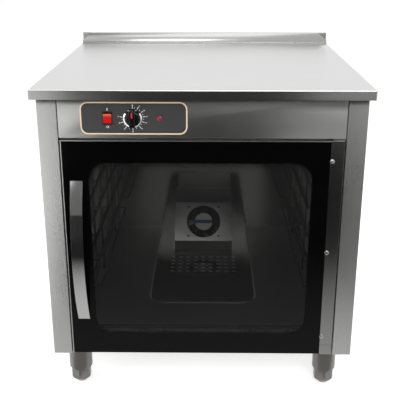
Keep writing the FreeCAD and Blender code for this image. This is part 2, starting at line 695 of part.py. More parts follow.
# --- controls --------------------------------------------------------------------
def switch_housing():
    """Rocker switch body with its bezel; a pocket takes the rocker."""
    x, z = ROCKER_X, CTRL_Z
    wide, tall = BEZEL_W / 2, BEZEL_H / 2
    front = -PLATE_T - BEZEL_T
    bezel = box(x - wide, x + wide, front, -PLATE_T, z - tall, z + tall)
    body = box(x - wide + BEZEL_LAP, x + wide - BEZEL_LAP, -PLATE_T, SWITCH_D,
               z - tall + BEZEL_LAP, z + tall - BEZEL_LAP)
    pocket_x = ROCKER_W / 2 + GAP
    pocket_z = math.hypot(ROCKER_HALF, ROCKER_FACE) + GAP
    pocket = box(x - pocket_x, x + pocket_x, front - OVER, ROCKER_Y + ROCKER_ROOM,
                 z - pocket_z, z + pocket_z)
    seat = pocket_x + ROCKER_SEAT
    pin = rod((x - seat, ROCKER_Y, z), (x + seat, ROCKER_Y, z), ROCKER_PIN_D)
    tabs = [box(tx - TAB_W / 2, tx + TAB_W / 2, SWITCH_D, SWITCH_D + TAB_L, z - TAB_T / 2, z + TAB_T / 2)
            for tx in (x - TAB_OFF, x + TAB_OFF)]
    return fuse([cut(fuse([bezel, body]), [pocket]), pin] + tabs)


def rocker():
    """Red rocker on its pin, lower half pressed in."""
    x, half = ROCKER_X, ROCKER_W / 2
    face = ROCKER_FACE
    edge = ROCKER_HALF - ROCKER_EDGE
    tail_y, tail_z = ROCKER_TAIL
    outline = [(-face, -ROCKER_HALF), (-face + ROCKER_DISH, 0), (-face, ROCKER_HALF), (ROCKER_EDGE, edge),
               (tail_y, tail_z), (tail_y, -tail_z), (ROCKER_EDGE, -edge)]
    solid = prism_x(outline, x - half, x + half)
    bore = rod((x - half - OVER, 0, 0), (x + half + OVER, 0, 0), ROCKER_PIN_D + 2 * RUN)
    solid = cut(solid, [bore])
    solid.rotate(V(0, 0, 0), V(1, 0, 0), ROCKER_TILT)
    solid.translate(V(0, ROCKER_Y, CTRL_Z))
    return solid


def thermostat_body():
    """Dial thermostat behind the fascia, held by its threaded neck."""
    half = THERMO_SIZE / 2
    case = box(KNOB_X - half, KNOB_X + half, SHEET, SHEET + THERMO_D, CTRL_Z - half, CTRL_Z + half)
    neck = rod((KNOB_X, -PLATE_T, CTRL_Z), (KNOB_X, SHEET, CTRL_Z), BUSHING_D)
    bore = rod((KNOB_X, -PLATE_T - OVER, CTRL_Z), (KNOB_X, SHAFT_IN + GAP, CTRL_Z), SHAFT_D + 2 * RUN)
    return cut(fuse([case, neck]), [bore])


def thermostat_probe():
    """Fine capillary from the thermostat to a bulb hanging below the ceiling."""
    z = CTRL_Z - THERMO_SIZE / 4
    y = SHEET + THERMO_D
    top = CH_Z1 - PROBE_DROP
    return fuse([
        rod((KNOB_X, y, z), (KNOB_X, PROBE_Y, z), CAPILLARY_D),
        Part.makeSphere(CAPILLARY_D / 2, V(KNOB_X, PROBE_Y, z)),
        rod((KNOB_X, PROBE_Y, z), (KNOB_X, PROBE_Y, top), CAPILLARY_D),
        rod((KNOB_X, PROBE_Y, top), (KNOB_X, PROBE_Y, top - PROBE_L), PROBE_D),
    ])


def knob():
    """Round dial with a raised grip bar across it."""
    r = KNOB_D / 2
    back = -PLATE_T - GAP
    front = -PLATE_T - KNOB_OUT
    skirt = rod((KNOB_X, back, CTRL_Z), (KNOB_X, back - KNOB_SKIRT, CTRL_Z), KNOB_D)
    wide, narrow = KNOB_CONE_IN
    drum = Part.makeCone(r - wide, r - narrow, KNOB_CONE, V(KNOB_X, back - KNOB_SKIRT, CTRL_Z), V(0, -1, 0))
    reach = r - KNOB_GRIP_IN
    grip = rounded_box(KNOB_X - KNOB_GRIP_W / 2, KNOB_X + KNOB_GRIP_W / 2, front, back - KNOB_SKIRT,
                       CTRL_Z - reach, CTRL_Z + reach, KNOB_GRIP_R, "y")
    bore = rod((KNOB_X, back + OVER, CTRL_Z), (KNOB_X, back - KNOB_BORE_IN, CTRL_Z), SHAFT_D)
    return cut(fuse([skirt, drum, grip]), [bore])


def thermostat_shaft():
    start = -PLATE_T - GAP - KNOB_BORE_IN
    return rod((KNOB_X, start, CTRL_Z), (KNOB_X, SHAFT_IN, CTRL_Z), SHAFT_D)


def lamp_lens():
    """Domed lens that sits on the plate."""
    front = -PLATE_T - LAMP_OUT
    lens = rod((LAMP_X, -PLATE_T, CTRL_Z), (LAMP_X, front, CTRL_Z), LAMP_D)
    rim = [e for e in lens.Edges if abs(e.BoundBox.YMax - front) < 0.01]
    return lens.makeFillet(LAMP_ROUND, rim)


def lamp_body():
    return rod((LAMP_X, -PLATE_T, CTRL_Z), (LAMP_X, LAMP_BODY_L, CTRL_Z), LAMP_BODY_D)


def terminal_block():
    """Mains terminals on the back panel inside the control compartment."""
    x, z = GLAND_X - BLOCK_OFF, GLAND_Z
    y1 = BODY_D - SHEET
    wide, deep, tall = BLOCK_SIZE
    block = box(x - wide / 2, x + wide / 2, y1 - deep, y1, z - tall / 2, z + tall / 2)
    wells = []
    for k in (-1, 0, 1):
        wx = x + k * WELL_PITCH
        wells.append(rod((wx, y1 - deep - OVER, z), (wx, y1 - deep + WELL_L, z), WELL_D))
    return cut(block, wells)


def cable_gland():
    """Round gland for the mains cord, with its locknut inside."""
    z = GLAND_Z
    inner, outer = BODY_D - GLAND_REST, BODY_D + GLAND_OUT
    nut_wide, nut_thick = GLAND_NUT
    body = fuse([
        rod((GLAND_X, inner, z), (GLAND_X, BODY_D + OVER, z), GLAND_D),
        rod((GLAND_X, BODY_D, z), (GLAND_X, outer, z), GLAND_D + GLAND_RIM),
        rod((GLAND_X, BODY_D - SHEET - nut_thick, z), (GLAND_X, BODY_D - SHEET, z), GLAND_D + nut_wide),
    ])
    return cut(body, [rod((GLAND_X, inner - OVER, z), (GLAND_X, outer + OVER, z), GLAND_BORE)])


# --- door ------------------------------------------------------------------------
FRAME_X1 = DOOR_X - SHEET               # door frame's right face, inside the strip's return
GLASS_X0 = -DOOR_X + LIP_W
GLASS_Z1 = DOOR_Z1 - LIP_W
SCREW_X = STRIP_X + STRIP_SCREW_IN


def door_frame():
    """Channel ring behind the glass, open towards the window; its edge laps the glass."""
    x0, x1, z0, z1 = -DOOR_X, FRAME_X1, DOOR_Z0, DOOR_Z1
    ix0, ix1 = x0 + FLANGE_W, x1 - FLANGE_W
    iz0, iz1 = z0 + FLANGE_W, z1 - FLANGE_W
    solid = box(x0, x1, GLASS_T, DOOR_T, z0, z1)
    hollow = box(x0 + SHEET, x1 - SHEET, GLASS_T + SHEET, DOOR_T - SHEET, z0 + SHEET, z1 - SHEET)
    window = box(ix0, ix1, 0, DOOR_T + OVER, iz0, iz1)
    lips = [box(x0, GLASS_X0, 0, GLASS_T + SHEET, z0, z1),
            box(x0, STRIP_X, 0, GLASS_T + SHEET, GLASS_Z1, z1),
            box(STRIP_X, x1, SHEET, GLASS_T + SHEET, z0, z1)]
    block_x, block_y = PIVOT_X - BLOCK_IN, DOOR_T - BLOCK_SHY
    blocks = [box(block_x, x1, GLASS_T, block_y, z0, z0 + BLOCK_H),
              box(block_x, x1, GLASS_T, block_y, z1 - BLOCK_H, z1)]
    frame = fuse([cut(solid, [hollow, window])] + lips + blocks)
    bush = PIN_L + BUSH_OVER
    tools = [rod((PIVOT_X, PIVOT_BACK, z0 - OVER), (PIVOT_X, PIVOT_BACK, z0 + bush), BUSH_D),
             rod((PIVOT_X, PIVOT_BACK, z1 + OVER), (PIVOT_X, PIVOT_BACK, z1 - bush), BUSH_D)]
    tools += [rod((SCREW_X, 0, LEG_H + z), (SCREW_X, DOOR_T / 2, LEG_H + z), SCREW_SHANK)
              for z in STRIP_SCREW_Z]
    tools += [rod((HANDLE_X, 0, z), (HANDLE_X, DOOR_T / 2, z), HANDLE_STUD_D) for z in stud_heights()]
    return cut(frame, tools)


def door_glass():
    """Toughened pane with bored holes for the handle's studs."""
    pane = box(GLASS_X0, STRIP_X, 0, GLASS_T, DOOR_Z0, GLASS_Z1)
    holes = [rod((HANDLE_X, -OVER, z), (HANDLE_X, GLASS_T + OVER, z), HANDLE_HOLE_D)
             for z in stud_heights()]
    return cut(pane, holes)


def hinge_strip():
    """Bent strip that covers the hinge side of the door."""
    strip = fuse([box(STRIP_X, DOOR_X, 0, SHEET, DOOR_Z0, DOOR_Z1),
                  box(DOOR_X - SHEET, DOOR_X, 0, STRIP_RETURN, DOOR_Z0, DOOR_Z1)])
    holes = [rod((SCREW_X, -OVER, LEG_H + z), (SCREW_X, SHEET + OVER, LEG_H + z), SCREW_SHANK)
             for z in STRIP_SCREW_Z]
    return cut(strip, holes)


def strip_screws():
    """Three dome-head screws on the line between strip and glass."""
    out = []
    for z in STRIP_SCREW_Z:
        zc = LEG_H + z
        ball = Part.makeSphere(STRIP_SCREW_BALL, V(SCREW_X, STRIP_SCREW_SINK, zc))
        room = STRIP_SCREW_BALL + OVER
        head = ball.common(box(SCREW_X - room, SCREW_X + room, -room, 0, zc - room, zc + room))
        shank = rod((SCREW_X, -OVER, zc), (SCREW_X, DOOR_T / 2 - OVER, zc), SCREW_SHANK)
        out.append(fuse([head, shank]))
    return Part.makeCompound(out)


def stud_heights():
    return [LEG_H + HANDLE_Z[0] + HANDLE_STUD_IN, LEG_H + HANDLE_Z[1] - HANDLE_STUD_IN]


def arc_circle(bow, half):
    """Radius of the circle through both ends and the middle of a bow."""
    return (half * half + bow * bow) / (2 * bow)


def handle():
    """Flat strap bent to one long bow, its ends cut flush with the glass."""
    z0, z1 = LEG_H + HANDLE_Z[0], LEG_H + HANDLE_Z[1]
    mid, half = (z0 + z1) / 2, (z1 - z0) / 2
    radius = arc_circle(HANDLE_BOW, half)
    left = HANDLE_X - HANDLE_W / 2
    back = radius - HANDLE_BOW                  # the bow's centre behind the glass
    inner = radius - HANDLE_T
    inner_half = math.sqrt(inner * inner - back * back)
    ends = [V(left, 0, mid - half), V(left, 0, mid + half),
            V(left, 0, mid + inner_half), V(left, 0, mid - inner_half)]
    outline = Part.Wire([
        Part.Arc(ends[0], V(left, back - radius, mid), ends[1]).toShape(),
        Part.makeLine(ends[1], ends[2]),
        Part.Arc(ends[2], V(left, back - inner, mid), ends[3]).toShape(),
        Part.makeLine(ends[3], ends[0]),
    ])
    strap = Part.Face(outline).extrude(V(HANDLE_W, 0, 0))
    pads = []
    for z in stud_heights():                    # bosses that carry the studs
        pads.append(rod((HANDLE_X, -boss_out(radius, mid, z), z), (HANDLE_X, 0, z), BOSS_D))
    holes = [rod((HANDLE_X, -OVER, z), (HANDLE_X, OVER, z), HANDLE_STUD_D) for z in stud_heights()]
    return cut(fuse([strap] + pads), holes)


def boss_out(radius, mid, z):
    """How far the strap's inner face stands off the glass at height z, plus a bite."""
    reach = math.sqrt((radius - HANDLE_T) ** 2 - (z - mid) ** 2)
    return reach - (radius - HANDLE_BOW) + HANDLE_T / 2


def handle_studs():
    """Two studs with nuts that hold the handle through the glass and the frame."""
    out = []
    for z in stud_heights():
        y = GLASS_T + SHEET
        stud = rod((HANDLE_X, -OVER, z), (HANDLE_X, y + HANDLE_STUD_L, z), HANDLE_STUD_D)
        nut = rod((HANDLE_X, y, z), (HANDLE_X, y + HANDLE_NUT_T, z), HANDLE_NUT_D)
        out.append(fuse([stud, nut]))
    return Part.makeCompound(out)


# --- hinges ----------------------------------------------------------------------
def hinge_bush():
    """Plain bush in the door's lower corner."""
    z = DOOR_Z0
    sleeve = rod((PIVOT_X, PIVOT_BACK, z), (PIVOT_X, PIVOT_BACK, z + PIN_L + BUSH_OVER), BUSH_D)
    bore = rod((PIVOT_X, PIVOT_BACK, z - OVER), (PIVOT_X, PIVOT_BACK, z + PIN_L + PIN_ROOM),
               PIN_D + 2 * RUN)
    return cut(sleeve, [bore])


def hinge_bracket():
    """Lower angle bracket with the pin the door stands on."""
    x0, x1 = PIVOT_X - BRACKET_W / 2, min(PIVOT_X + BRACKET_W / 2, OPEN_X - GAP)
    plate_top = DOOR_Z0 - 2 * GAP
    under = plate_top - BRACKET_T + GAP
    plate = box(x0, x1, BRACKET_IN, FRAME_Y, under, plate_top)
    leg = box(x0, x1, FRAME_Y - BRACKET_T, FRAME_Y, LEG_H + SHEET, LEG_H + BRACKET_LEG)
    pin = rod((PIVOT_X, PIVOT_BACK, under), (PIVOT_X, PIVOT_BACK, DOOR_Z0 + PIN_L), PIN_D)
    return fuse([plate, leg, pin])


def flipped(shape):
    """Lower hinge piece turned over to serve at the top of the door."""
    middle = (DOOR_Z0 + DOOR_Z1) / 2
    return shape.mirror(V(0, 0, middle), V(0, 0, 1))


def top_bracket():
    """Upper bracket: like the lower one but thicker, filling the wider gap over the door."""
    shape = flipped(hinge_bracket())
    x0, x1 = PIVOT_X - BRACKET_W / 2, min(PIVOT_X + BRACKET_W / 2, OPEN_X - GAP)
    spacer = box(x0, x1, BRACKET_IN, FRAME_Y, DOOR_Z1 + 2 * GAP, FASCIA_Z)
    return fuse([shape, spacer])


# --- door catch ------------------------------------------------------------------
CATCH_X = -DOOR_X + CATCH_IN


def catch_magnet():
    """Magnet on the chamber frame that holds the shut door."""
    z = LEG_H + CATCH_UP
    return box(CATCH_X - CATCH_W / 2, CATCH_X + CATCH_W / 2, DOOR_T + STRIKE_T + GAP, FRAME_Y,
               z - CATCH_H / 2, z + CATCH_H / 2)


def catch_strike():
    """Steel plate on the door that the magnet pulls."""
    wide, tall = CATCH_W / 2 - STRIKE_SHY[0], CATCH_H / 2 - STRIKE_SHY[1]
    z = LEG_H + CATCH_UP
    return box(CATCH_X - wide, CATCH_X + wide, DOOR_T, DOOR_T + STRIKE_T, z - tall, z + tall)


# --- legs ------------------------------------------------------------------------
def leg_sleeve(x, y):
    """Fixed upper part of a leg: a cup with a stud and nut through the base."""
    z0 = LEG_H - SLEEVE_H
    cup = cut(rod((x, y, z0), (x, y, LEG_H), SLEEVE_D),
              [rod((x, y, z0 - OVER), (x, y, LEG_H - SLEEVE_ROOF), FOOT_D + 2 * SLIP)])
    stud = rod((x, y, LEG_H - OVER), (x, y, LEG_H + LEG_STUD_H), LEG_STUD_D)
    nut = rod((x, y, LEG_H + SHEET), (x, y, LEG_H + SHEET + LEG_NUT_T), LEG_NUT_D)
    return fuse([cup, stud, nut])


def leg_foot(x, y):
    """Levelling foot: flats to grip, chamfered down to its small round pad."""
    top = LEG_H - SLEEVE_H + FOOT_IN
    foot = rod((x, y, FOOT_CHAMFER), (x, y, top), FOOT_D)
    tip = Part.makeCone(FOOT_TIP / 2, FOOT_D / 2, FOOT_CHAMFER, V(x, y, 0), V(0, 0, 1))
    flats = []
    for i in range(FOOT_FLATS):
        slab = box(FOOT_D / 2 - FLAT_DEPTH, FOOT_D, -FOOT_D / 2, FOOT_D / 2,
                   -OVER, LEG_H - SLEEVE_H - FLAT_TOP)
        slab.rotate(V(0, 0, 0), V(0, 0, 1), i * 360.0 / FOOT_FLATS)
        slab.translate(V(x, y, 0))
        flats.append(slab)
    return cut(fuse([foot, tip]), flats)


# --- assembly --------------------------------------------------------------------
def build():
    pieces = {
        "worktop": worktop(),
        "upstand_strip": upstand_strip(),
        "upstand_screws": upstand_screws(),
        "side_panel_left": side_panel(),
        "side_panel_right": mirrored(side_panel()),
        "back_panel": back_panel(),
        "base_panel": base_panel(),
        "control_fascia": control_fascia(),
        "control_plate": control_plate(),
        "chamber_frame": chamber_frame(),
        "chamber_wall_left": chamber_wall(),
        "chamber_wall_right": mirrored(chamber_wall()),
        "chamber_back": chamber_back(),
        "chamber_ceiling": chamber_ceiling(),
        "chamber_floor": chamber_floor(),
        "insulation_left": insulation_side(),
        "insulation_right": mirrored(insulation_side()),
        "insulation_back": insulation_back(),
        "insulation_top": insulation_top(),
        "insulation_floor": insulation_floor(),
        "door_gasket": door_gasket(),
        "rack_left": rack(-1),
        "rack_right": rack(1),
        "heater_cover": heater_cover(),
        "heater_element": heater_element(),
        "heater_clips": heater_clips(),
        "fan_console": fan_console(),
        "fan_frame": fan_frame(),
        "fan_impeller": fan_impeller(),
        "fan_screws": fan_screws(),
        "switch_housing": switch_housing(),
        "rocker": rocker(),
        "thermostat_body": thermostat_body(),
        "thermostat_probe": thermostat_probe(),
        "thermostat_shaft": thermostat_shaft(),
        "knob": knob(),
        "lamp_lens": lamp_lens(),
        "lamp_body": lamp_body(),
        "terminal_block": terminal_block(),
        "cable_gland": cable_gland(),
        "door_frame": door_frame(),
        "door_glass": door_glass(),
        "hinge_strip": hinge_strip(),
        "strip_screws": strip_screws(),
        "handle": handle(),
        "handle_studs": handle_studs(),
        "hinge_bush_lower": hinge_bush(),
        "hinge_bush_upper": flipped(hinge_bush()),
        "hinge_bracket_lower": hinge_bracket(),
        "hinge_bracket_upper": top_bracket(),
        "catch_magnet": catch_magnet(),
        "catch_strike": catch_strike(),
    }
    names = ("front_left", "front_right", "rear_left", "rear_right")
    for name, (x, y) in zip(names, leg_spots()):
        pieces["leg_sleeve_" + name] = leg_sleeve(x, y)
        pieces["leg_foot_" + name] = leg_foot(x, y)
    return pieces


os.makedirs("parts", exist_ok=True)
for piece_name, piece in build().items():
    save(piece_name, piece)
    print(piece_name, len(piece.Solids), round(piece.Volume / 1000, 1), piece.isValid())
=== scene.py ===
# %% [markdown]
# # An undercounter proofing cabinet
# Bread dough rises in this warm, damp cabinet. It is a folded stainless body with a glass
# door, and it stands on four levelling feet. Its sizes and its moving parts come from a
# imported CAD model. This lesson loads that model as a fixed frame, gives every sheet a
# finish, and builds the parts that need a closer look from simple primitives.

# %% Load the frame
import math
import bpy
from mathutils import Vector, Matrix

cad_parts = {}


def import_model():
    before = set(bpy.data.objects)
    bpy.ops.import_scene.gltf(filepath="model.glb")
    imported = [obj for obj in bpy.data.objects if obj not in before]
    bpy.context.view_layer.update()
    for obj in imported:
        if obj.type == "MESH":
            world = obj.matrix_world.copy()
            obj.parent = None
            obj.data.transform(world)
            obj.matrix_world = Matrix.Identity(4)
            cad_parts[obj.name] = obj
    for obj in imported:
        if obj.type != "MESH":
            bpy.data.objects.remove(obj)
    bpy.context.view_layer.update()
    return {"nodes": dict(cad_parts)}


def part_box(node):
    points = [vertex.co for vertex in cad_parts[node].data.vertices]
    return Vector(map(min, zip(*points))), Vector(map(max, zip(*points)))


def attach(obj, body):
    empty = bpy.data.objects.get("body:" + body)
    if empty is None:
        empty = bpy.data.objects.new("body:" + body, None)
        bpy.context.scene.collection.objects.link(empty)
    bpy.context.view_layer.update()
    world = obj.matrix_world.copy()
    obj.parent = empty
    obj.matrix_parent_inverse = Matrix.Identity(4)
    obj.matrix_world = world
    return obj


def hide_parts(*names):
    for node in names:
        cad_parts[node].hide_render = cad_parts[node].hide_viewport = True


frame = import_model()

MM = 0.001
SHEET = 1.2 * MM
CORNERS = ("front_left", "front_right", "rear_left", "rear_right")

# %% [markdown]
# ## Colours and nodes
# Colours are written as hex codes, as a paint chart gives them, and shaders want linear
# numbers, so one function turns one into the other. Materials could be wired by hand, but
# a helper that adds a node with its settings and links keeps each finish short to read.

# %% Colour and node helpers
def linear(text):
    """One sRGB hex colour, such as 'a0a0a0', as the linear numbers a shader takes."""
    out = []
    for i in (0, 2, 4):
        c = int(text[i:i + 2], 16) / 255
        out.append(c / 12.92 if c <= 0.04045 else ((c + 0.055) / 1.055) ** 2.4)
    return (*out, 1.0)


def add(tree, kind, settings=None, links=None):
    """Adds a node. settings fill its properties or sockets, links join its sockets."""
    node = tree.nodes.new(kind)
    for key, value in (settings or {}).items():
        if isinstance(key, int) or key in node.inputs:
            node.inputs[key].default_value = value
        else:
            setattr(node, key, value)
    for key, source in (links or {}).items():
        tree.links.new(source, node.inputs[key])
    return node


def blank(holder):
    """Gives a new material or world an empty node tree."""
    holder.use_nodes = True
    holder.node_tree.nodes.clear()
    return holder.node_tree


print("mid grey is", [round(c, 3) for c in linear("808080")])

# %% [markdown]
# ## Camera
# The cabinet is looked at from chest height, a little more than two metres away and
# slightly down, so that the top, the front and the chamber all show. A moderate lens keeps
# the upright edges nearly upright.

# %% Camera
LENS_MM = 66.3
SENSOR_MM = 36.0
EYE = (0.0164, -2.1962, 1.2189)
LOOK_DOWN = 19.677
LOOK_LEFT = 0.694


def camera():
    data = bpy.data.cameras.new("camera")
    data.lens = LENS_MM
    data.sensor_width = SENSOR_MM
    data.clip_end = 60.0
    cam = bpy.data.objects.new("camera", data)
    cam.location = EYE
    cam.rotation_euler = (math.radians(90 - LOOK_DOWN), 0.0, math.radians(LOOK_LEFT))
    bpy.context.scene.collection.objects.link(cam)
    bpy.context.scene.camera = cam
    print("camera at", EYE)


camera()
bpy.context.scene.view_settings.view_transform = "Standard"

# %% [markdown]
# ## Lamps and room
# A product like this is shown on a pale floor in soft light. Steel has hardly any colour
# of its own: what the eye reads as steel is the room in its surface. One broad softbox
# hangs over the top, one stands at the left, and a third lights the chamber through the
# glass. The room itself is white to look at and grey as a light, so shades stay soft.

# %% Lamps and room
ROOM_LIGHT = 0.5


def lamp(name, place, aim, size, watts):
    data = bpy.data.lights.new(name, "AREA")
    data.shape = "RECTANGLE"
    data.size, data.size_y = size
    data.energy = watts
    ob = bpy.data.objects.new(name, data)
    ob.location = place
    ob.rotation_euler = (Vector(aim) - Vector(place)).to_track_quat("-Z", "Y").to_euler()
    bpy.context.scene.collection.objects.link(ob)
    print(name, watts, "W")


def seen_rays(tree):
    """1 for camera, glossy and transmission rays, 0 for the rays that carry soft light."""
    path = add(tree, "ShaderNodeLightPath")
    first = add(tree, "ShaderNodeMath", {"operation": "MAXIMUM"},
                {0: path.outputs["Is Camera Ray"], 1: path.outputs["Is Glossy Ray"]})
    return add(tree, "ShaderNodeMath", {"operation": "MAXIMUM"},
               {0: first.outputs[0], 1: path.outputs["Is Transmission Ray"]}).outputs[0]


def world():
    """A white room to look at and to mirror, and a softer grey one to be lit by."""
    room = bpy.data.worlds.new("studio")
    tree = blank(room)
    soft = add(tree, "ShaderNodeBackground", {"Color": linear("ffffff"), "Strength": ROOM_LIGHT})
    white = add(tree, "ShaderNodeBackground", {"Color": linear("ffffff"), "Strength": 1.0})
    mix = add(tree, "ShaderNodeMixShader", None,
              {0: seen_rays(tree), 1: soft.outputs[0], 2: white.outputs[0]})
    add(tree, "ShaderNodeOutputWorld", None, {"Surface": mix.outputs[0]})
    bpy.context.scene.world = room


lamp("top_softbox", (0.0, 0.3, 3.4), (0, 0, 0.9), (3.2, 3.2), 46)
lamp("left_softbox", (-2.8, -1.4, 1.7), (0, 0, 0.5), (1.6, 2.4), 22)
lamp("front_fill", (0.42, -3.0, 2.15), (0, 0.1, 0.3), (2.0, 1.2), 44)
world()

# %% [markdown]
# ## Cards that the steel mirrors
# Photographers stand black and grey cards round shiny things. In a room that is white all
# over, a steel sheet would be one flat white. The cards here are seen by reflections alone:
# one wall of them stands behind the camera, strips lie on the floor round the cabinet, and
# one dark strip stands under the worktop's front hem. That strip is painted shade: the sheets
# just below the hem mirror it as a dark band of shade under the hem.
# A card's grey may change along its length, which gives the sheets their soft gradients.

# %% Cards
WALL_Y = -3.7
NEAR_Y = -0.40
ROOM_EDGE = 3.7
GRADE_FAR_Y, GRADE_NEAR_Y = -1.5, -0.45
HEM_Z = 0.843
CARD_LIFT, GREY_LIFT = 0.003, 0.004


def card(name, corners, far, near):
    """A matte card that only reflections see. Its grey runs from far to near along Y."""
    mesh = bpy.data.meshes.new(name)
    mesh.from_pydata(corners, [], [(0, 1, 2, 3)])
    ob = bpy.data.objects.new(name, mesh)
    bpy.context.scene.collection.objects.link(ob)
    mat = bpy.data.materials.new(name)
    tree = blank(mat)
    place = add(tree, "ShaderNodeTexCoord").outputs["Object"]
    split = add(tree, "ShaderNodeSeparateXYZ", None, {0: place})
    grade = add(tree, "ShaderNodeMapRange",
                {"interpolation_type": "SMOOTHSTEP", "From Min": GRADE_FAR_Y,
                 "From Max": GRADE_NEAR_Y, "To Min": far, "To Max": near},
                {"Value": split.outputs["Y"]})
    glow = add(tree, "ShaderNodeEmission", None, {"Strength": grade.outputs[0]})
    add(tree, "ShaderNodeOutputMaterial", None, {"Surface": glow.outputs[0]})
    mesh.materials.append(mat)
    ob.visible_camera = False
    ob.visible_diffuse = False
    ob.visible_shadow = False


def upright(left, right, low, high, y=WALL_Y):
    return [(left, y, low), (right, y, low), (right, y, high), (left, y, high)]


def on_floor(left, right):
    """Corners on the floor; left and right each give X at the far and at the near end."""
    z = CARD_LIFT
    return [(left[0], WALL_Y, z), (right[0], WALL_Y, z), (right[1], NEAR_Y, z), (left[1], NEAR_Y, z)]


def beside(left, right, near):
    """Corners of a floor card that reaches from Y = near to the back of the room."""
    z = GREY_LIFT
    return [(left, near, z), (right, near, z), (right, ROOM_EDGE, z), (left, ROOM_EDGE, z)]


CARDS = {
    "front_flag": (upright(-1.06, 0.72, 0.0, 1.0), 0.03, 0.03),
    "right_card": (upright(0.72, 3.2, 0.0, 1.0), 0.45, 0.45),
    "upper_flag": (upright(-1.05, 1.5, 1.0, 3.0), 0.16, 0.16),
    # painted shade: the sheets below the hem mirror this dark strip as the shade under it
    "hem_shade_flag": (upright(-0.425, 0.425, HEM_Z - 0.022, HEM_Z - 0.001, -0.4235), 0.02, 0.02),
    "floor_flag": (on_floor((-1.05, -0.50), (1.32, 0.56)), 0.02, 0.6),
    "left_grey_floor": (beside(-ROOM_EDGE, -0.62, -0.25), 0.40, 0.40),
    "right_grey_floor": (beside(0.62, ROOM_EDGE, -0.25), 0.40, 0.40),
    "rear_grey_floor": (beside(-0.62, 0.62, 0.55), 0.40, 0.40),
    "right_floor": (on_floor((1.32, 0.56), (3.2, 3.2)), 0.62, 0.36),
}
for name, (corners, far, near) in CARDS.items():
    card(name, corners, far, near)
print("cards:", len(CARDS))

# %% [markdown]
# ## Finishes
# Every finish starts from how the real surface is made. Sheet steel is ground with a belt,
# so its fine scratches all run one way and smear reflections across them. Moulded plastic
# has a fine grit and slight blotches instead. Each needs the same three things, a tone, a
# gloss and a relief, so one function wires them and the others only say what drives them.

# %% Steel
def begin(name):
    """A new material with its Principled shader, output and Object coordinates."""
    mat = bpy.data.materials.new(name)
    tree = blank(mat)
    shader = add(tree, "ShaderNodeBsdfPrincipled")
    add(tree, "ShaderNodeOutputMaterial", None, {"Surface": shader.outputs[0]})
    return mat, tree, shader, add(tree, "ShaderNodeTexCoord").outputs["Object"]


def shader_of(mat):
    return mat.node_tree.nodes["Principled BSDF"]


def coat(tree, shader, colour, tone, gloss, relief, strength, depth):
    """Wires a colour with its tone, a gloss and a relief of a depth in mm to a shader."""
    mix = add(tree, "ShaderNodeMix", {"data_type": "RGBA", "blend_type": "MULTIPLY", 0: 1.0}, {7: tone})
    mix.inputs[6].default_value = linear(colour)
    bump = add(tree, "ShaderNodeBump", {"Strength": strength, "Distance": depth * MM},
               {"Height": relief})
    for socket, source in (("Base Color", mix.outputs[2]), ("Roughness", gloss),
                           ("Normal", bump.outputs[0])):
        tree.links.new(source, shader.inputs[socket])


def ground_steel(name, colour, rough, grain, depth, marks=0.03, metallic=1.0):
    """Steel with belt scratches. grain is the scratch size in mm along X, Y and Z."""
    mat, tree, shader, place = begin(name)
    mapped = add(tree, "ShaderNodeMapping", {"Scale": tuple(1 / MM / g for g in grain)},
                 {"Vector": place})
    fine = add(tree, "ShaderNodeTexNoise", {"Scale": 1.0, "Detail": 3.0, "Roughness": 0.6},
               {"Vector": mapped.outputs[0]}).outputs[0]
    cloud = add(tree, "ShaderNodeTexNoise", {"Scale": 9.0, "Detail": 4.0, "Roughness": 0.55},
                {"Vector": place}).outputs[0]
    both = add(tree, "ShaderNodeMath", {"operation": "MULTIPLY_ADD", 1: 0.5}, {0: fine, 2: cloud})
    tone = add(tree, "ShaderNodeMapRange", {"From Min": 0.3, "From Max": 0.7, "To Min": 1.0 - marks},
               {"Value": fine})
    gloss = add(tree, "ShaderNodeMapRange", {"From Min": 0.45, "From Max": 1.05,
                "To Min": rough * 0.92, "To Max": rough * 1.08}, {"Value": both.outputs[0]})
    coat(tree, shader, colour, tone.outputs[0], gloss.outputs[0], fine, 0.12, depth)
    shader.inputs["Metallic"].default_value = metallic
    return mat


# the scratches are about 0.05 mm wide in life; they are drawn coarser so that they show
LONG, WIDE = 90, 1.2
ACROSS, UPRIGHT = (LONG, WIDE, WIDE), (WIDE, WIDE, LONG)
# painted light: one ground steel in two greys, a soft one for level sheets and a paler one
# for upright ones, where the room they mirror looks darker
steel_level = ground_steel("ground_stainless_level", "a6a6a4", 0.28, (80, WIDE, WIDE), 0.004)
steel_upright = ground_steel("ground_stainless_upright", "d0d0ce", 0.28, UPRIGHT, 0.004)
steel_top = ground_steel("ground_stainless_top", "d2d2d2", 0.30, ACROSS, 0.004)
steel_fascia = ground_steel("ground_stainless_fascia", "a8a8a6", 0.30, ACROSS, 0.004)
# painted shade: a darker copy of the worktop's steel for its forward faces
steel_edge = ground_steel("ground_stainless_edge", "b8b8b6", 0.18, (80, WIDE, WIDE), 0.006)
steel_strip = ground_steel("ground_stainless_strip", "a8a8a6", 0.15, (WIDE, WIDE, 80), 0.012, 0.04)
# annealed sheet came off bright rolls: nearly a mirror, dark in the dark chamber
steel_bright = ground_steel("bright_annealed_stainless", "787876", 0.10, (40, 40, 40), 0.01)
steel_mill = ground_steel("mill_finish_stainless", "c4c4c2", 0.40, (40, 40, 40), 0.02)
# a satin sheet spreads the light of the lamp, so the fan's panel shows pale and even; its
# near-white grey is painted light as well
steel_satin = ground_steel("satin_stainless", "f2f2f0", 0.50, (1.5, 40, 1.5), 0.03, 0.04)
# painted shade: a dark copy of the steel for the front faces of the pan and of the hood
steel_lip = ground_steel("painted_shade_stainless_lip", "6a6a68", 0.45, (1.5, 40, 1.5), 0.01)
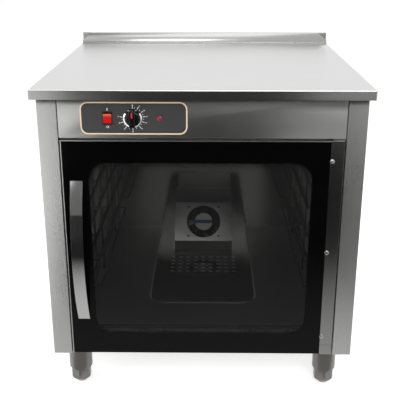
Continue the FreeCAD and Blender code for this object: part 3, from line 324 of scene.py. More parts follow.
# painted highlight: a pale matte white on the pan's rim and slot walls stands in for the
# glint of the edges, as a pale thin outline
rim_highlight = ground_steel("painted_highlight_rim", "f8f8f6", 0.50, (3, 3, 3), 0.02, metallic=0.0)
# electropolished wire is smooth and glossy, and mirrors the dark chamber round it
steel_wire = ground_steel("electropolished_wire", "505050", 0.24, (8, 8, 8), 0.02)
# a casting keeps a coarser, warmer skin than sheet; its darker grey is painted shade
steel_foot = ground_steel("cast_stainless_foot", "74716e", 0.30, (2, 2, 6), 0.04, 0.08)
# plating gives small turned parts a clean, even shine; wheel-polished strap is a mirror
steel_plated = ground_steel("plated_steel", "c2c2c0", 0.2, (3, 3, 3), 0.02, 0.04)
steel_polished = ground_steel("polished_stainless", "d6d6d5", 0.06, (1.5, 1.5, 30), 0.02)
# chrome is the brightest mirror here and shows as a thin sharp ring
chrome = ground_steel("chrome_plate", "e6e6e6", 0.08, (4, 4, 4), 0.01, 0.02)
# a heated sheath has oxidised to a dull brown-black; drawn copper stays warm and fine-lined
heater_skin = ground_steel("oxidised_sheath", "4a4440", 0.55, (4, 4, 4), 0.05, 0.3)
copper_skin = ground_steel("drawn_copper", "b8714a", 0.35, (2, 20, 20), 0.02, 0.12)
print("materials in the file:", len(bpy.data.materials))

# %% [markdown]
# ## Plastics, inks, rubber and wool
# The switch, dial and lamp are moulded, the marks are printed, the seal is extruded and the
# wool is felted. They could each have a material of their own, but all are a colour with a
# fine grit in it, so one recipe takes the grit's size and depth. A clear coat on the red
# plastics gives the eye their wet look.

# %% Plastics, inks, rubber and wool
def moulded(name, colour, rough, grit, depth=0.05, blotches=0.06, clear=0.0):
    """Moulded or coated stuff with a fine grit, its size in mm, and slight blotches."""
    mat, tree, shader, place = begin(name)
    grain = add(tree, "ShaderNodeTexNoise", {"Scale": 1 / MM / grit, "Detail": 2.0}, {"Vector": place})
    cloud = add(tree, "ShaderNodeTexNoise", {"Scale": 14.0, "Detail": 4.0}, {"Vector": place}).outputs[0]
    tone = add(tree, "ShaderNodeMapRange", {"From Min": 0.35, "From Max": 0.65,
               "To Min": 1.0 - blotches}, {"Value": cloud})
    gloss = add(tree, "ShaderNodeMapRange", {"From Min": 0.3, "From Max": 0.7, "To Min": rough * 0.85,
                "To Max": min(rough * 1.15, 1.0)}, {"Value": cloud})
    coat(tree, shader, colour, tone.outputs[0], gloss.outputs[0], grain.outputs[0], 0.25, depth)
    shader.inputs["Coat Weight"].default_value = clear
    return mat


# ABS from a grained mould looks half dull, phenolic from a polished one looks wet, and
# nylon full of glass fibre looks dullest
black_abs = moulded("black_moulded_abs", "161616", 0.38, 0.6)
black_gloss = moulded("polished_black_phenolic", "0e0e0e", 0.20, 1.0, 0.01)
fan_nylon = moulded("glass_filled_nylon", "1d1e20", 0.55, 0.8)
# clear-skinned red plastics glow and take a small white highlight; filled paint does not
red_pc = moulded("red_polycarbonate", "d01510", 0.22, 1.5, 0.02, 0.08, 0.4)
red_paint = moulded("red_filled_line", "c8202a", 0.35, 1.0, 0.02)
lamp_pc = moulded("dark_red_lens", "9c1222", 0.18, 1.5, 0.02, 0.1, 0.5)
# silicone is soft and dull, acetal waxy and off-white
silicone = moulded("extruded_silicone", "1c1c1c", 0.62, 0.9)
acetal = moulded("natural_acetal", "dcdad2", 0.45, 0.8)
# screen inks lie flat and even; the copper one is paler than the metal, with no sparkle
plate_print = moulded("screen_printed_plate", "363636", 0.42, 0.5, 0.02)
copper_line = moulded("copper_ink", "ecd0ae", 0.35, 0.5, 0.01)
white_ink = moulded("white_ink", "ffffff", 0.5, 0.5, 0.01)
# a coated paper label is the palest thing inside, with one printed band
label_paper = moulded("coated_label", "f4f8f2", 0.5, 0.7, 0.01)
label_blue = moulded("blue_label_band", "3c6a9c", 0.5, 0.7, 0.01)
# the catch is a plain black case, and the wool a mat of yellow fibres with deep relief
magnet_case = moulded("magnet_casing", "101010", 0.6, 0.8)
wool = moulded("mineral_wool", "b3a05e", 0.95, 2.2, 1.2, 0.35)
# fired ceramic ink under glass is deep black and mirrors little
black_print = moulded("black_ceramic_print", "050505", 0.08, 0.7, 0.005)
shader_of(black_print).inputs["Specular IOR Level"].default_value = 0.18
print("materials in the file:", len(bpy.data.materials))

# %% [markdown]
# ## Tinted glass
# The pane is toughened glass, tinted grey in the melt. Real refraction through a thin pane
# hardly bends anything and is slow and noisy to trace, so the pane lets a fixed share of
# the light straight through. A faint wave in its surface is what the toughening oven leaves.

# %% Tinted glass
def tinted_glass():
    """Grey toughened glass: a third is dark tint, the rest of the light passes through."""
    mat, tree, shader, place = begin("grey_toughened_glass")
    wave = add(tree, "ShaderNodeTexNoise", {"Scale": 6.0, "Detail": 1.0}, {"Vector": place})
    bump = add(tree, "ShaderNodeBump", {"Strength": 0.04, "Distance": 0.3 * MM},
               {"Height": wave.outputs[0]})
    tree.links.new(bump.outputs[0], shader.inputs["Normal"])
    for socket, value in (("Base Color", linear("202020")), ("Specular IOR Level", 0.30),
                          ("Roughness", 0.04), ("IOR", 1.5), ("Alpha", 0.36)):
        shader.inputs[socket].default_value = value
    return mat


glass_grey = tinted_glass()
print("glass lets through", 1 - shader_of(glass_grey).inputs["Alpha"].default_value)

# %% [markdown]
# ## Finishes for the CAD sheets
# Many pieces already have their true shape in the frame: flat panels, brackets, insulation.
# They could be rebuilt, but nothing would be gained. They keep their shape and get a finish.

# %% Give each carried-over node its finish
def dress(node, material):
    """Puts one finish on a CAD node, in every slot it has."""
    ob = frame["nodes"][node]
    if not ob.material_slots:
        ob.data.materials.append(material)
    for place in ob.material_slots:
        place.material = material


FINISH = {
    steel_upright: "back_panel door_frame side_panel_left side_panel_right hinge_strip chamber_frame",
    steel_level: "base_panel control_fascia upstand_strip",
    steel_top: "worktop",
    steel_bright: "chamber_wall_left chamber_wall_right chamber_back chamber_ceiling heater_cover",
    steel_mill: "chamber_floor",
    steel_satin: "fan_console",
    steel_wire: "rack_left rack_right",
    steel_plated: "upstand_screws fan_screws strip_screws handle_studs catch_strike "
                  "thermostat_shaft hinge_bracket_lower hinge_bracket_upper heater_clips",
    steel_polished: "handle",
    steel_foot: " ".join("leg_sleeve_" + c + " leg_foot_" + c for c in CORNERS),
    heater_skin: "heater_element",
    copper_skin: "thermostat_probe",
    wool: "insulation_left insulation_right insulation_back insulation_top insulation_floor",
    silicone: "door_gasket",
    acetal: "hinge_bush_lower hinge_bush_upper",
    magnet_case: "catch_magnet",
    fan_nylon: "fan_frame fan_impeller",
    black_abs: "switch_housing knob lamp_body terminal_block cable_gland thermostat_body",
    red_pc: "rocker",
    lamp_pc: "lamp_lens",
    plate_print: "control_plate",
    glass_grey: "door_glass",
}
dressed = set()
for material, nodes in FINISH.items():
    for node in nodes.split():
        dress(node, material)
        dressed.add(node)
print("nodes without a finish:", sorted(set(frame["nodes"]) - dressed))

# %% [markdown]
# ## Tools for modelling
# A person at the keyboard adds a primitive, goes into edit mode, picks faces and shapes
# them. These helpers do the same: they pick faces or edges by place or by the way they
# face, and leave the finished mesh in place with its object at the origin.

# %% Pick and shape
SMOOTH_BELOW = math.radians(35)
HAIR = 0.01 * MM
TOUCH = 0.1 * MM


def looks(axis, sign, least=0.9):
    """A test for faces that look along one axis, 0 for X, 1 for Y, 2 for Z."""
    return lambda face: face.normal[axis] * sign > least


to_front, to_back, to_top, to_ground = looks(1, -1), looks(1, 1), looks(2, 1), looks(2, -1)


def under_or_behind(face):
    return to_ground(face) or to_back(face)


def alone(piece):
    """Leaves one piece selected and active, as edit mode, join and apply need."""
    if bpy.context.object and bpy.context.object.mode == "EDIT":
        bpy.ops.object.mode_set(mode="OBJECT")
    bpy.ops.object.select_all(action="DESELECT")
    bpy.context.view_layer.objects.active = piece
    piece.select_set(True)
    return piece


def edit(piece):
    """Opens one piece alone in edit mode with nothing picked."""
    alone(piece)
    bpy.ops.object.mode_set(mode="EDIT")
    bpy.ops.mesh.select_all(action="DESELECT")


def done(piece):
    bpy.ops.object.mode_set(mode="OBJECT")
    return piece


def pick(piece, faces=None, verts=None):
    """Picks the faces, or the vertices, for which the given test holds."""
    bpy.ops.mesh.select_mode(type="FACE" if faces else "VERT")
    bpy.ops.object.mode_set(mode="OBJECT")
    mesh = piece.data
    for group in (mesh.vertices, mesh.edges, mesh.polygons):
        group.foreach_set("select", [False] * len(group))
    if faces:
        for face in mesh.polygons:
            face.select = bool(faces(face))
    if verts:
        for vert in mesh.vertices:
            vert.select = bool(verts(vert.co))
    bpy.ops.object.mode_set(mode="EDIT")


def round_edges(piece, test, radius, segments=8):
    """Bevels the edges whose two ends pass the test."""
    edit(piece)
    bpy.ops.mesh.select_mode(type="EDGE")
    bpy.ops.object.mode_set(mode="OBJECT")
    points = [v.co.copy() for v in piece.data.vertices]
    for edge in piece.data.edges:
        edge.select = bool(test(*[points[i] for i in edge.vertices]))
    bpy.ops.object.mode_set(mode="EDIT")
    bpy.ops.mesh.bevel(offset=radius, segments=segments, affect="EDGES", clamp_overlap=False)
    done(piece)


def along(axis):
    """A test for edges that run along one axis, 0 for X, 1 for Y, 2 for Z."""
    others = [i for i in range(3) if i != axis]
    return lambda a, b: all(abs(a[i] - b[i]) < 1e-6 for i in others)


def open_up(piece, test):
    """Deletes the faces that pass the test, so that a box becomes a skin."""
    edit(piece)
    pick(piece, faces=test)
    bpy.ops.mesh.delete(type="FACE")
    done(piece)


def turn_steps(piece, test, steps, **how):
    """Insets the faces that pass the test and moves them, step by step, as on a lathe.

    Each step is the inset and the way to move, both in metres.
    """
    edit(piece)
    pick(piece, faces=test)
    for inset, move in steps:
        bpy.ops.mesh.inset(thickness=inset, **how)
        bpy.ops.transform.translate(value=move)
    return done(piece)


def cut_line(height):
    """Cuts a level line of edges round the piece that is open in edit mode."""
    bpy.ops.mesh.select_all(action="SELECT")
    bpy.ops.mesh.bisect(plane_co=(0, 0, height), plane_no=(0, 0, 1))


def apply(piece, kind, **settings):
    """Adds a modifier with its settings and applies it."""
    alone(piece)
    mod = piece.modifiers.new(kind.lower(), kind)
    for key, value in settings.items():
        setattr(mod, key, value)
    bpy.ops.object.modifier_apply(modifier=mod.name)


def settle(name, piece=None):
    """Names a piece and applies its place, turn and size to its mesh."""
    piece = alone(piece or bpy.context.object)
    piece.name = name
    piece.data.name = name
    bpy.ops.object.transform_apply(location=True, rotation=True, scale=True)
    return piece


def cube(name, low, high):
    """A cube primitive stretched between two corners, ready to be shaped."""
    bpy.ops.object.select_all(action="DESELECT")
    low, high = Vector(low), Vector(high)
    bpy.ops.mesh.primitive_cube_add(size=1.0, location=(low + high) / 2)
    bpy.context.object.scale = high - low
    return settle(name)


def drum(name, centre, radius, depth, along="Z", sides=64):
    """A cylinder primitive about a centre, lying along one axis."""
    turn = {"Z": (0, 0, 0), "Y": (math.pi / 2, 0, 0)}[along]
    bpy.ops.object.select_all(action="DESELECT")
    bpy.ops.mesh.primitive_cylinder_add(vertices=sides, radius=radius, depth=depth,
                                        location=centre, rotation=turn)
    return settle(name)


def slab(name, x, y, z, radius, segments=14):
    """A plate between pairs of limits, its corners rounded as seen from the front."""
    piece = cube(name, (x[0], y[0], z[0]), (x[1], y[1], z[1]))
    round_edges(piece, along(1), radius, segments)
    return piece


def smooth(piece):
    """Shades the soft edges smooth and keeps flat faces flat."""
    alone(piece)
    bpy.ops.object.shade_smooth_by_angle(angle=SMOOTH_BELOW)
    apply(piece, "WEIGHTED_NORMAL", keep_sharp=True)


def soften(piece, width, segments=3, angle=30):
    """Rounds the edges sharper than an angle and smooths the shading."""
    apply(piece, "BEVEL", width=width, segments=segments, limit_method="ANGLE",
          angle_limit=math.radians(angle), harden_normals=False)
    smooth(piece)


def subtract(piece, *tools):
    """Cuts other shapes out of a piece and throws them away."""
    for tool in tools:
        apply(piece, "BOOLEAN", operation="DIFFERENCE", object=tool, solver="EXACT")
        bpy.data.objects.remove(tool)


def join(name, pieces):
    """Makes several pieces one object."""
    whole = alone(pieces[0])
    for piece in pieces[1:]:
        piece.select_set(True)
    bpy.ops.object.join()
    whole.name = name
    return whole


def coat_faces(piece, finishes, choose):
    """Gives a piece several finishes; choose says which one each face takes."""
    piece.data.materials.clear()
    for finish in finishes:
        piece.data.materials.append(finish)
    for face in piece.data.polygons:
        face.material_index = choose(face)


def hand_over(piece, material, body, nodes=()):
    """Gives a finished piece its finish, its body and the CAD nodes it stands for."""
    if material:
        piece.data.materials.clear()
        piece.data.materials.append(material)
    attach(piece, body)
    if nodes:
        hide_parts(*nodes)
    points = [v.co for v in piece.data.vertices]
    low, high = ([round(end(p[i] for p in points) / MM, 1) for i in range(3)] for end in (min, max))
    print(piece.name, len(piece.data.polygons), "faces, from", low, "to", high, "mm")


def middle(node):
    """The middle of a CAD node's box."""
    low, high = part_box(node)
    return (low + high) / 2


print("helpers ready")

# %% [markdown]
# ## Folded sheets
# Nearly every panel here is flat sheet that a brake press has folded. It could be cut from
# a solid, but it is easier to think like the press: start with one flat strip, pull each
# next flange out of its edge, then give the whole its thickness and its small bend radius.

# %% Fold a sheet
def fold(name, points, low, high, along="Z", bend=1.6 * MM):
    """Folds a strip through (x, y)-like points and draws it from low to high along an axis."""
    def place(p, end):
        return {"Z": (p[0], p[1], end), "X": (end, p[0], p[1])}[along]
    corner, across = Vector(place(points[0], low)), Vector(place(points[1], low))
    across -= corner
    tall = Vector(place(points[0], high)) - corner
    turn = Matrix((across.normalized(), tall.normalized(), across.cross(tall).normalized())).transposed()
    bpy.ops.object.select_all(action="DESELECT")
    bpy.ops.mesh.primitive_plane_add(size=1.0, location=corner + (across + tall) / 2,
                                     rotation=turn.to_euler())
    bpy.context.object.scale = (across.length, tall.length, 1.0)
    piece = settle(name)
    edit(piece)
    for a, b in zip(points[1:], points[2:]):
        here = [Vector(place(a, low)), Vector(place(a, high))]
        pick(piece, verts=lambda co: min((co - h).length for h in here) < HAIR)
        step = Vector(place(b, 0.0)) - Vector(place(a, 0.0))
        bpy.ops.mesh.extrude_region_move(TRANSFORM_OT_translate={"value": step})
    bpy.ops.mesh.select_all(action="SELECT")
    bpy.ops.mesh.normals_make_consistent(inside=False)
    done(piece)
    apply(piece, "SOLIDIFY", thickness=SHEET, offset=-1.0, use_even_offset=True)
    soften(piece, bend / 3, 2)
    return piece


def pressed_skin(name, low, high, corner, rim):
    """A lid of sheet, open below and behind. corner and rim are a radius and its segments."""
    skin = cube(name, low, high)
    open_up(skin, under_or_behind)
    standing = along(2)
    round_edges(skin, lambda a, b: standing(a, b) and a.y < low[1] + MM, *corner)
    round_edges(skin, lambda a, b: min(a.z, b.z) > high[2] - HAIR and min(a.y, b.y) < high[1] - MM, *rim)
    apply(skin, "SOLIDIFY", thickness=SHEET, offset=-1.0)
    return skin


print("sheet is", round(SHEET / MM, 2), "mm thick")

# %% [markdown]
# ## The door's pane
# The door is one toughened pane. A black ceramic ink is fired onto it all round, to hide
# the metal frame behind, and the middle stays clear grey. It could be one plate with two
# finishes, but then the rounded window has to be drawn into its faces. Cutting a rounded
# slab out of the plate gives the same look with clean edges.

# %% Printed border and clear middle
WINDOW = (-292 * MM, 282 * MM, 182.6 * MM, 672.5 * MM)
WINDOW_RADIUS = 46 * MM
EDGE_LINE = 0.4 * MM


def door_pane():
    low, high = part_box("door_glass")
    clear = slab("window_pane", WINDOW[:2], (low.y, high.y), WINDOW[2:], WINDOW_RADIUS)
    tool = slab("window_cutter", WINDOW[:2], (low.y - MM, high.y + MM), WINDOW[2:], WINDOW_RADIUS)
    border = cube("printed_border", low, high)
    subtract(border, tool)
    soften(border, 0.7 * MM, 3, 60)
    hand_over(border, black_print, "door", ["door_glass"])
    turn_steps(clear, lambda f: to_front(f) or to_back(f), [(EDGE_LINE, (0, 0, 0))])
    hand_over(clear, glass_grey, "door", ["door_glass"])


door_pane()

# %% [markdown]
# ## The hinge-side strip
# A narrow steel strip covers the door's pivot side. It is bent back at both long edges,
# and three dome-head screws hold it. A short cap at its foot slides off to reach the pin.

# %% Strip and its pivot cap
CAP_TOP = 146 * MM
CAP_SEAM = 0.5 * MM
STRIP_RETURN = 3.5 * MM


def hinge_side_strip():
    low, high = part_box("hinge_strip")
    points = [(high.x, high.y), (high.x, low.y), (low.x, low.y), (low.x, low.y + STRIP_RETURN)]
    for name, foot, head in (("pivot_cap", low.z, CAP_TOP - CAP_SEAM),
                             ("hinge_side_strip", CAP_TOP, high.z)):
        hand_over(fold(name, points, foot, head), steel_strip, "door", ["hinge_strip"])


hinge_side_strip()

# %% [markdown]
# ## The bow handle
# The handle is a flat stainless strap rolled to one long, even curve. It could be a curve
# object with a flat profile, but spinning does what the roller does: the strap's cross
# section turns about the roller's centre, and every point keeps its distance from it.

# %% Spin the strap
STRAP_T = 4.0 * MM
PAST_END = 0.012
STRAP_STEPS = 72


def bow_handle():
    low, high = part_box("handle")
    half, bow = (high.z - low.z) / 2, high.y - low.y
    radius = (half * half + bow * bow) / (2 * bow)
    centre = Vector(((low.x + high.x) / 2, low.y + radius, (low.z + high.z) / 2))
    reach = math.asin(half / radius) + PAST_END
    core = radius - STRAP_T / 2
    start = centre - Vector((0, core * math.cos(reach), core * math.sin(reach)))
    bpy.ops.object.select_all(action="DESELECT")
    bpy.ops.mesh.primitive_plane_add(size=1.0, location=start, rotation=(reach, 0, 0))
    bpy.context.object.scale = (high.x - low.x, STRAP_T, 1.0)
    strap = settle("bow_handle")
    edit(strap)
    bpy.ops.mesh.select_all(action="SELECT")
    bpy.ops.mesh.spin(steps=STRAP_STEPS, angle=2 * reach, center=tuple(centre), axis=(1, 0, 0))
    bpy.ops.mesh.select_all(action="SELECT")
    bpy.ops.mesh.bisect(plane_co=(0, high.y, 0), plane_no=(0, 1, 0), use_fill=True, clear_outer=True)
    bpy.ops.mesh.select_all(action="SELECT")
    bpy.ops.mesh.remove_doubles(threshold=HAIR)
    bpy.ops.mesh.normals_make_consistent(inside=False)
    done(strap)
    soften(strap, 0.8 * MM, 3, 50)
    hand_over(strap, steel_polished, "door", ["handle"])


bow_handle()

# %% [markdown]
# ## Screws with domed heads
# The strip's screws have a low dome with a hexagon socket. A half sphere looks too tall,
# so the head starts as a short drum, its face is inset and lifted twice, and a socket is
# sunk in.

# %% Dome-head screws
SCREW_RADIUS, SCREW_HEIGHT = 5.7 * MM, 2.7 * MM
SCREW_FROM_END = 6.1 * MM
STRIP_MIDDLE = 426 * MM


def dome_screw(name, centre, radius, height, facing):
    """A screw head whose dome faces along -Y or +Z, with a hexagon socket."""
    head = drum(name, (0, 0, height / 2), radius, height, sides=32)
    crown, brim = 0.35, 0.12
    turn_steps(head, to_top, [(radius * 0.25, (0, 0, height * crown)),
                              (radius * 0.30, (0, 0, height * brim))])
    subtract(head, drum("socket", (0, 0, height * 1.3), radius * 0.34, height * 1.5, sides=6))
    soften(head, radius * 0.05, 2, 40)
    head.location = centre
    if facing == "-Y":
        head.rotation_euler = (math.pi / 2, 0, 0)
    head.scale.z = 1.0 / (1 + crown + brim)
    return settle(name, head)


def strip_screws():
    low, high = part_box("strip_screws")
    x, seat = (low.x + high.x) / 2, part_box("hinge_strip")[0].y
    heads = [dome_screw("strip_screw", (x, seat, z), SCREW_RADIUS, SCREW_HEIGHT, "-Y")
             for z in (low.z + SCREW_FROM_END, STRIP_MIDDLE, high.z - SCREW_FROM_END)]
    hand_over(join("strip_screw_heads", heads), steel_plated, "door", ["strip_screws"])


strip_screws()

# %% [markdown]
# ## The heater pan on the chamber floor
# A shallow pan lies upside down over the heating element. Its corners are rounded in plan,
# its rim is pressed to a small radius, and slots let the warm air out. It begins as a box
# that loses its bottom and its back, so what is left is one skin to give a thickness.

# %% Pan with slots
PAN_HEM = 3.5 * MM
PAN_CORNER, PAN_RIM = 50 * MM, 6 * MM
NEAR_LIP = 30 * MM
SLOT_X, SLOT_Y = 12 * MM, 4 * MM
SLOT_WALL_AREA = 30 * MM * MM
SLOT_FIRST = Vector((-100, -27.5, 0)) * MM
SLOT_ROWS = ((9, (25 * MM, 0, 0)), (5, (0, 27.5 * MM, 0)))
AIR_X, AIR_Y, AIR_BEHIND = 79 * MM, 187.5 * MM, 30 * MM


def slot_rows(top):
    """Nine by five slots, as one cutter."""
    half = Vector((SLOT_X / 2, SLOT_Y / 2, 0))
    tool = cube("slots", SLOT_FIRST - half + Vector((0, 0, top - 3 * MM)),
                SLOT_FIRST + half + Vector((0, 0, top + MM)))
    for count, step in SLOT_ROWS:
        apply(tool, "ARRAY", count=count, use_relative_offset=False, use_constant_offset=True,
              constant_offset_displace=step)
    return tool


def heater_pan():
    low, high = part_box("heater_cover")
    pan = pressed_skin("heater_pan", low, high, (PAN_CORNER, 14), (PAN_RIM, 4))
    mouth = cube("mouth", (low.x - MM, low.y - MM, low.z - MM),
                 (high.x + MM, low.y + PAN_CORNER, high.z - PAN_HEM))
    # where the air goes down to the heater, beneath the fan's hood
    air_hole = cube("air_hole", (-AIR_X, AIR_Y, high.z - 3 * MM),
                    (AIR_X, high.y - AIR_BEHIND, high.z + MM))
    subtract(pan, mouth, slot_rows(high.z), air_hole)
    smooth(pan)

    def finish(face):
        at, way = face.center, face.normal
        on_rim = at.z > high.z - PAN_RIM - TOUCH and 0.15 < way.z < 0.97
        # painted shade: the rim and the front wall by the near lip take the dark lip steel
        if at.y < low.y + NEAR_LIP and (on_rim or way.z < 0.15):
            return 2
        # painted highlight: the other rim faces and the slot walls take the pale matte white
        in_sheet = high.z - SHEET < at.z < high.z and abs(way.z) < 0.1
        slot_wall = in_sheet and face.area < SLOT_WALL_AREA
        return int(on_rim and at.y > low.y + NEAR_LIP or slot_wall)
    coat_faces(pan, (steel_bright, rim_highlight, steel_lip), finish)
    hand_over(pan, None, "cabinet", ["heater_cover"])


heater_pan()

# %% [markdown]
# ## The fan's hood
# The hood is folded from one sheet: a short upright lip, a slope that carries the fan, and
# a flat top. A box with one more edge cut round it can be pushed into that shape, because
# only the top front edge has to move. Two faces are then opened and the skin thickened.

# %% Hood and foot
HOOD_SIDE = 99 * MM
HOOD_IN = 30 * MM
HOOD_LIP = 33 * MM
HOOD_SLOPE, HOOD_RISE = 85 * MM, 110 * MM
HOOD_TILT = math.atan2(HOOD_SLOPE, HOOD_RISE)
FAN_CENTRE = Vector((0, 190, 287)) * MM
FAN_RADIUS = 58 * MM


def lean(piece):
    """Carries a piece drawn upright at the origin, facing -Y, onto the hood's slope."""
    piece.rotation_euler = (-HOOD_TILT, 0, 0)
    piece.location = FAN_CENTRE
    return settle(piece.name, piece)


def fan_hood():
    low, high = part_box("fan_console")
    side, front = HOOD_SIDE, low.y + HOOD_IN
    hood = cube("fan_hood", (-side, front, low.z), (side, high.y, high.z))
    edit(hood)
    cut_line(low.z + HOOD_LIP)
    pick(hood, verts=lambda co: co.y < front + MM and co.z > high.z - MM)
    bpy.ops.transform.translate(value=(0, HOOD_SLOPE, 0))
    done(hood)
    open_up(hood, under_or_behind)
    apply(hood, "SOLIDIFY", thickness=SHEET, offset=-1.0, use_even_offset=True)
    soften(hood, 0.9 * MM, 3, 20)
    subtract(hood, lean(drum("bore", (0, 0, 0), FAN_RADIUS, 20 * MM, "Y")))
    foot = cube("hood_foot", low, (high.x, high.y, low.z + SHEET))
    subtract(foot, cube("inside", (-side + SHEET, front + SHEET, low.z - MM),
                        (side - SHEET, high.y + MM, low.z + 3 * MM)))
    soften(foot, 0.4 * MM, 2, 40)
    whole = join("fan_hood", [hood, foot])

    # painted light: the slope and the top take the near-white satin steel
    def finish(face):
        on_foot = face.center.z < low.z + SHEET + TOUCH
        # painted shade: the faces looking forward take the dark lip steel
        return 1 if on_foot else 2 * int(face.normal.y < -0.95)
    coat_faces(whole, (steel_satin, steel_bright, steel_lip), finish)
    hand_over(whole, None, "cabinet", ["fan_console"])


fan_hood()

# %% [markdown]
# ## The label on the fan's motor
# The motor's hub carries a round paper label with a coloured band. It is left without any
# words. A disc cut twice by a plane gives the band its own faces, so two finishes meet in
# a clean line without any picture.

# %% Round label
LABEL_RADIUS, LABEL_T = 30.5 * MM, 0.3 * MM
BAND = (-6.5 * MM, 5.5 * MM)
LABEL_BACK = 1.04 * MM


def fan_label():
    disc = drum("fan_label", (0, 0, 0), LABEL_RADIUS, LABEL_T, "Y", 48)
    edit(disc)
    for height in BAND:
        cut_line(height)
    done(disc)
    turn_steps(disc, to_front, [(EDGE_LINE, (0, 0, 0))], use_boundary=True)
    coat_faces(disc, (label_paper, label_blue), lambda f: int(BAND[0] < f.center.z < BAND[1]))
    disc.location = (0, LABEL_BACK, 0)
    hand_over(lean(settle("fan_label", disc)), None, "cabinet")


fan_label()

# %% [markdown]
# ## The control plate
# A thin dark plate is screen printed with a copper line round its edge and white marks for
# the dial. The line could be drawn by a shader, but thick-film ink stands a little proud,
# so it is a real ring: one rounded slab cut out of a slightly larger one.

# %% Plate and copper line
CONTROL_Z = middle("control_plate").z
ROCKER_X, KNOB_X, LAMP_X = middle("rocker").x, middle("knob").x, middle("lamp_lens").x
PLATE_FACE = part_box("control_plate")[0].y
PLATE_R = 20 * MM
LINE_W, LINE_IN = 3.6 * MM, 0.2 * MM
INK = 0.3 * MM
ROCKER_HOLE = (12 * MM, 16 * MM)
SHAFT_HOLE_R, LAMP_HOLE_R = 5.1 * MM, 5.2 * MM


def inset_slab(name, low, high, inset, y):
    """A rounded slab that keeps the plate's corner centres as it gets smaller."""
    return slab(name, (low.x + inset, high.x - inset), y, (low.z + inset, high.z - inset),
                PLATE_R - inset, 18)


def control_holes(near, far):
    """Cutters for the rocker, the dial's shaft and the lamp."""
    wide, tall = ROCKER_HOLE
    yield cube("hole", (ROCKER_X - wide, near - MM, CONTROL_Z - tall),
               (ROCKER_X + wide, far, CONTROL_Z + tall))
    for x, radius in ((KNOB_X, SHAFT_HOLE_R), (LAMP_X, LAMP_HOLE_R)):
        yield drum("hole", (x, near, CONTROL_Z), radius, 6 * MM, "Y")


def printed_plate():
    low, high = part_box("control_plate")
    plate = inset_slab("printed_plate", low, high, 0.0, (low.y, high.y))
    subtract(plate, *control_holes(low.y, high.y + MM))
    soften(plate, 0.15 * MM, 2, 40)
    hand_over(plate, plate_print, "cabinet", ["control_plate"])
    ring = inset_slab("copper_line", low, high, LINE_IN, (low.y - INK, low.y))
    subtract(ring, inset_slab("inner", low, high, LINE_IN + LINE_W, (low.y - MM, low.y + MM)))
    soften(ring, INK * 0.9, 3, 50)
    hand_over(ring, copper_line, "cabinet")


printed_plate()

# %% [markdown]
# ## Marks on the plate
# The dial has nine long strokes with plain numbers and short strokes between them. Each
# stroke is one thin bar of ink, and each is set round the dial by its clock angle. The
# numbers are text turned to a mesh, because text can't be handed in as it is.

# %% Dial marks
LONG_MARKS = {28: "10", 55: "20", 82: "30", 110: "40", 141: "50", 180: "60", 217: "70",
              249: "80", 277: "90"}
SHORT_MARKS = (11, 41, 68, 96, 125, 160, 199, 233, 263)
# each kind of stroke: its length, its width, and how far from the shaft it stands
LONG_STROKE = (6.4 * MM, 1.3 * MM, 28.6 * MM)
SHORT_STROKE = (3.0 * MM, 0.9 * MM, 26.8 * MM)
ZERO_STROKE = (11.0 * MM, 1.2 * MM, 30.5 * MM)
NUMBER_SIZE, NUMBER_RING = 4.4 * MM, (35.6 * MM, 34.4 * MM)
SWITCH_MARK_OFF = 22.5 * MM
STROKE_T, TEXT_T = 0.12 * MM, 0.06 * MM


def ink_bar(length, width):
    """One stroke of ink, drawn upright at the origin and centred on it."""
    return slab("stroke", (-width / 2, width / 2), (-STROKE_T, 0), (-length / 2, length / 2),
                width * 0.3, 3)


def stroke_at(degrees, kind):
    """One stroke, moved out along a clock angle about the dial's centre."""
    length, width, radius = kind
    bar, angle = ink_bar(length, width), math.radians(degrees)
    bar.rotation_euler = (0, angle, 0)
    bar.location = (KNOB_X + radius * math.sin(angle), PLATE_FACE,
                    CONTROL_Z + radius * math.cos(angle))
    return settle(bar.name, bar)


def ink_text(words, x, z, size):
    """Generic figures as a thin mesh of ink that faces -Y."""
    bpy.ops.object.select_all(action="DESELECT")
    bpy.ops.object.text_add(location=(x, PLATE_FACE, z), rotation=(math.pi / 2, 0, 0))
    text = bpy.context.object.data
    text.body, text.size, text.extrude = words, size, TEXT_T
    text.align_x = text.align_y = "CENTER"
    bpy.ops.object.convert(target="MESH")
    return settle("number")


def dial_strokes():
    strokes = [stroke_at(degrees, LONG_STROKE) for degrees in LONG_MARKS]
    strokes += [stroke_at(degrees, SHORT_STROKE) for degrees in SHORT_MARKS]
    strokes.append(stroke_at(0, ZERO_STROKE))
    hand_over(join("dial_strokes", strokes), white_ink, "cabinet")


def dial_numbers():
    """The dial's numbers, and the plain O and I of the switch."""
    marks = []
    for degrees, words in LONG_MARKS.items():
        angle = math.radians(degrees)
        marks.append(ink_text(words, KNOB_X + NUMBER_RING[0] * math.sin(angle),
                              CONTROL_Z + NUMBER_RING[1] * math.cos(angle), NUMBER_SIZE))
    marks.append(ink_text("O", ROCKER_X, CONTROL_Z - SWITCH_MARK_OFF, 8.5 * MM))
    bar = ink_bar(6.0 * MM, 1.8 * MM)
    bar.location = (ROCKER_X, PLATE_FACE, CONTROL_Z + SWITCH_MARK_OFF)
    marks.append(settle("stroke", bar))
    hand_over(join("dial_numbers", marks), white_ink, "cabinet")


dial_strokes()
dial_numbers()

# %% [markdown]
# ## The rocker
# The switch is a red polycarbonate rocker with two faces that meet in a shallow valley. A
# box gets an edge across its middle, the edge is pushed in, and the whole is rocked on
# its pin so that the lower end is pressed.

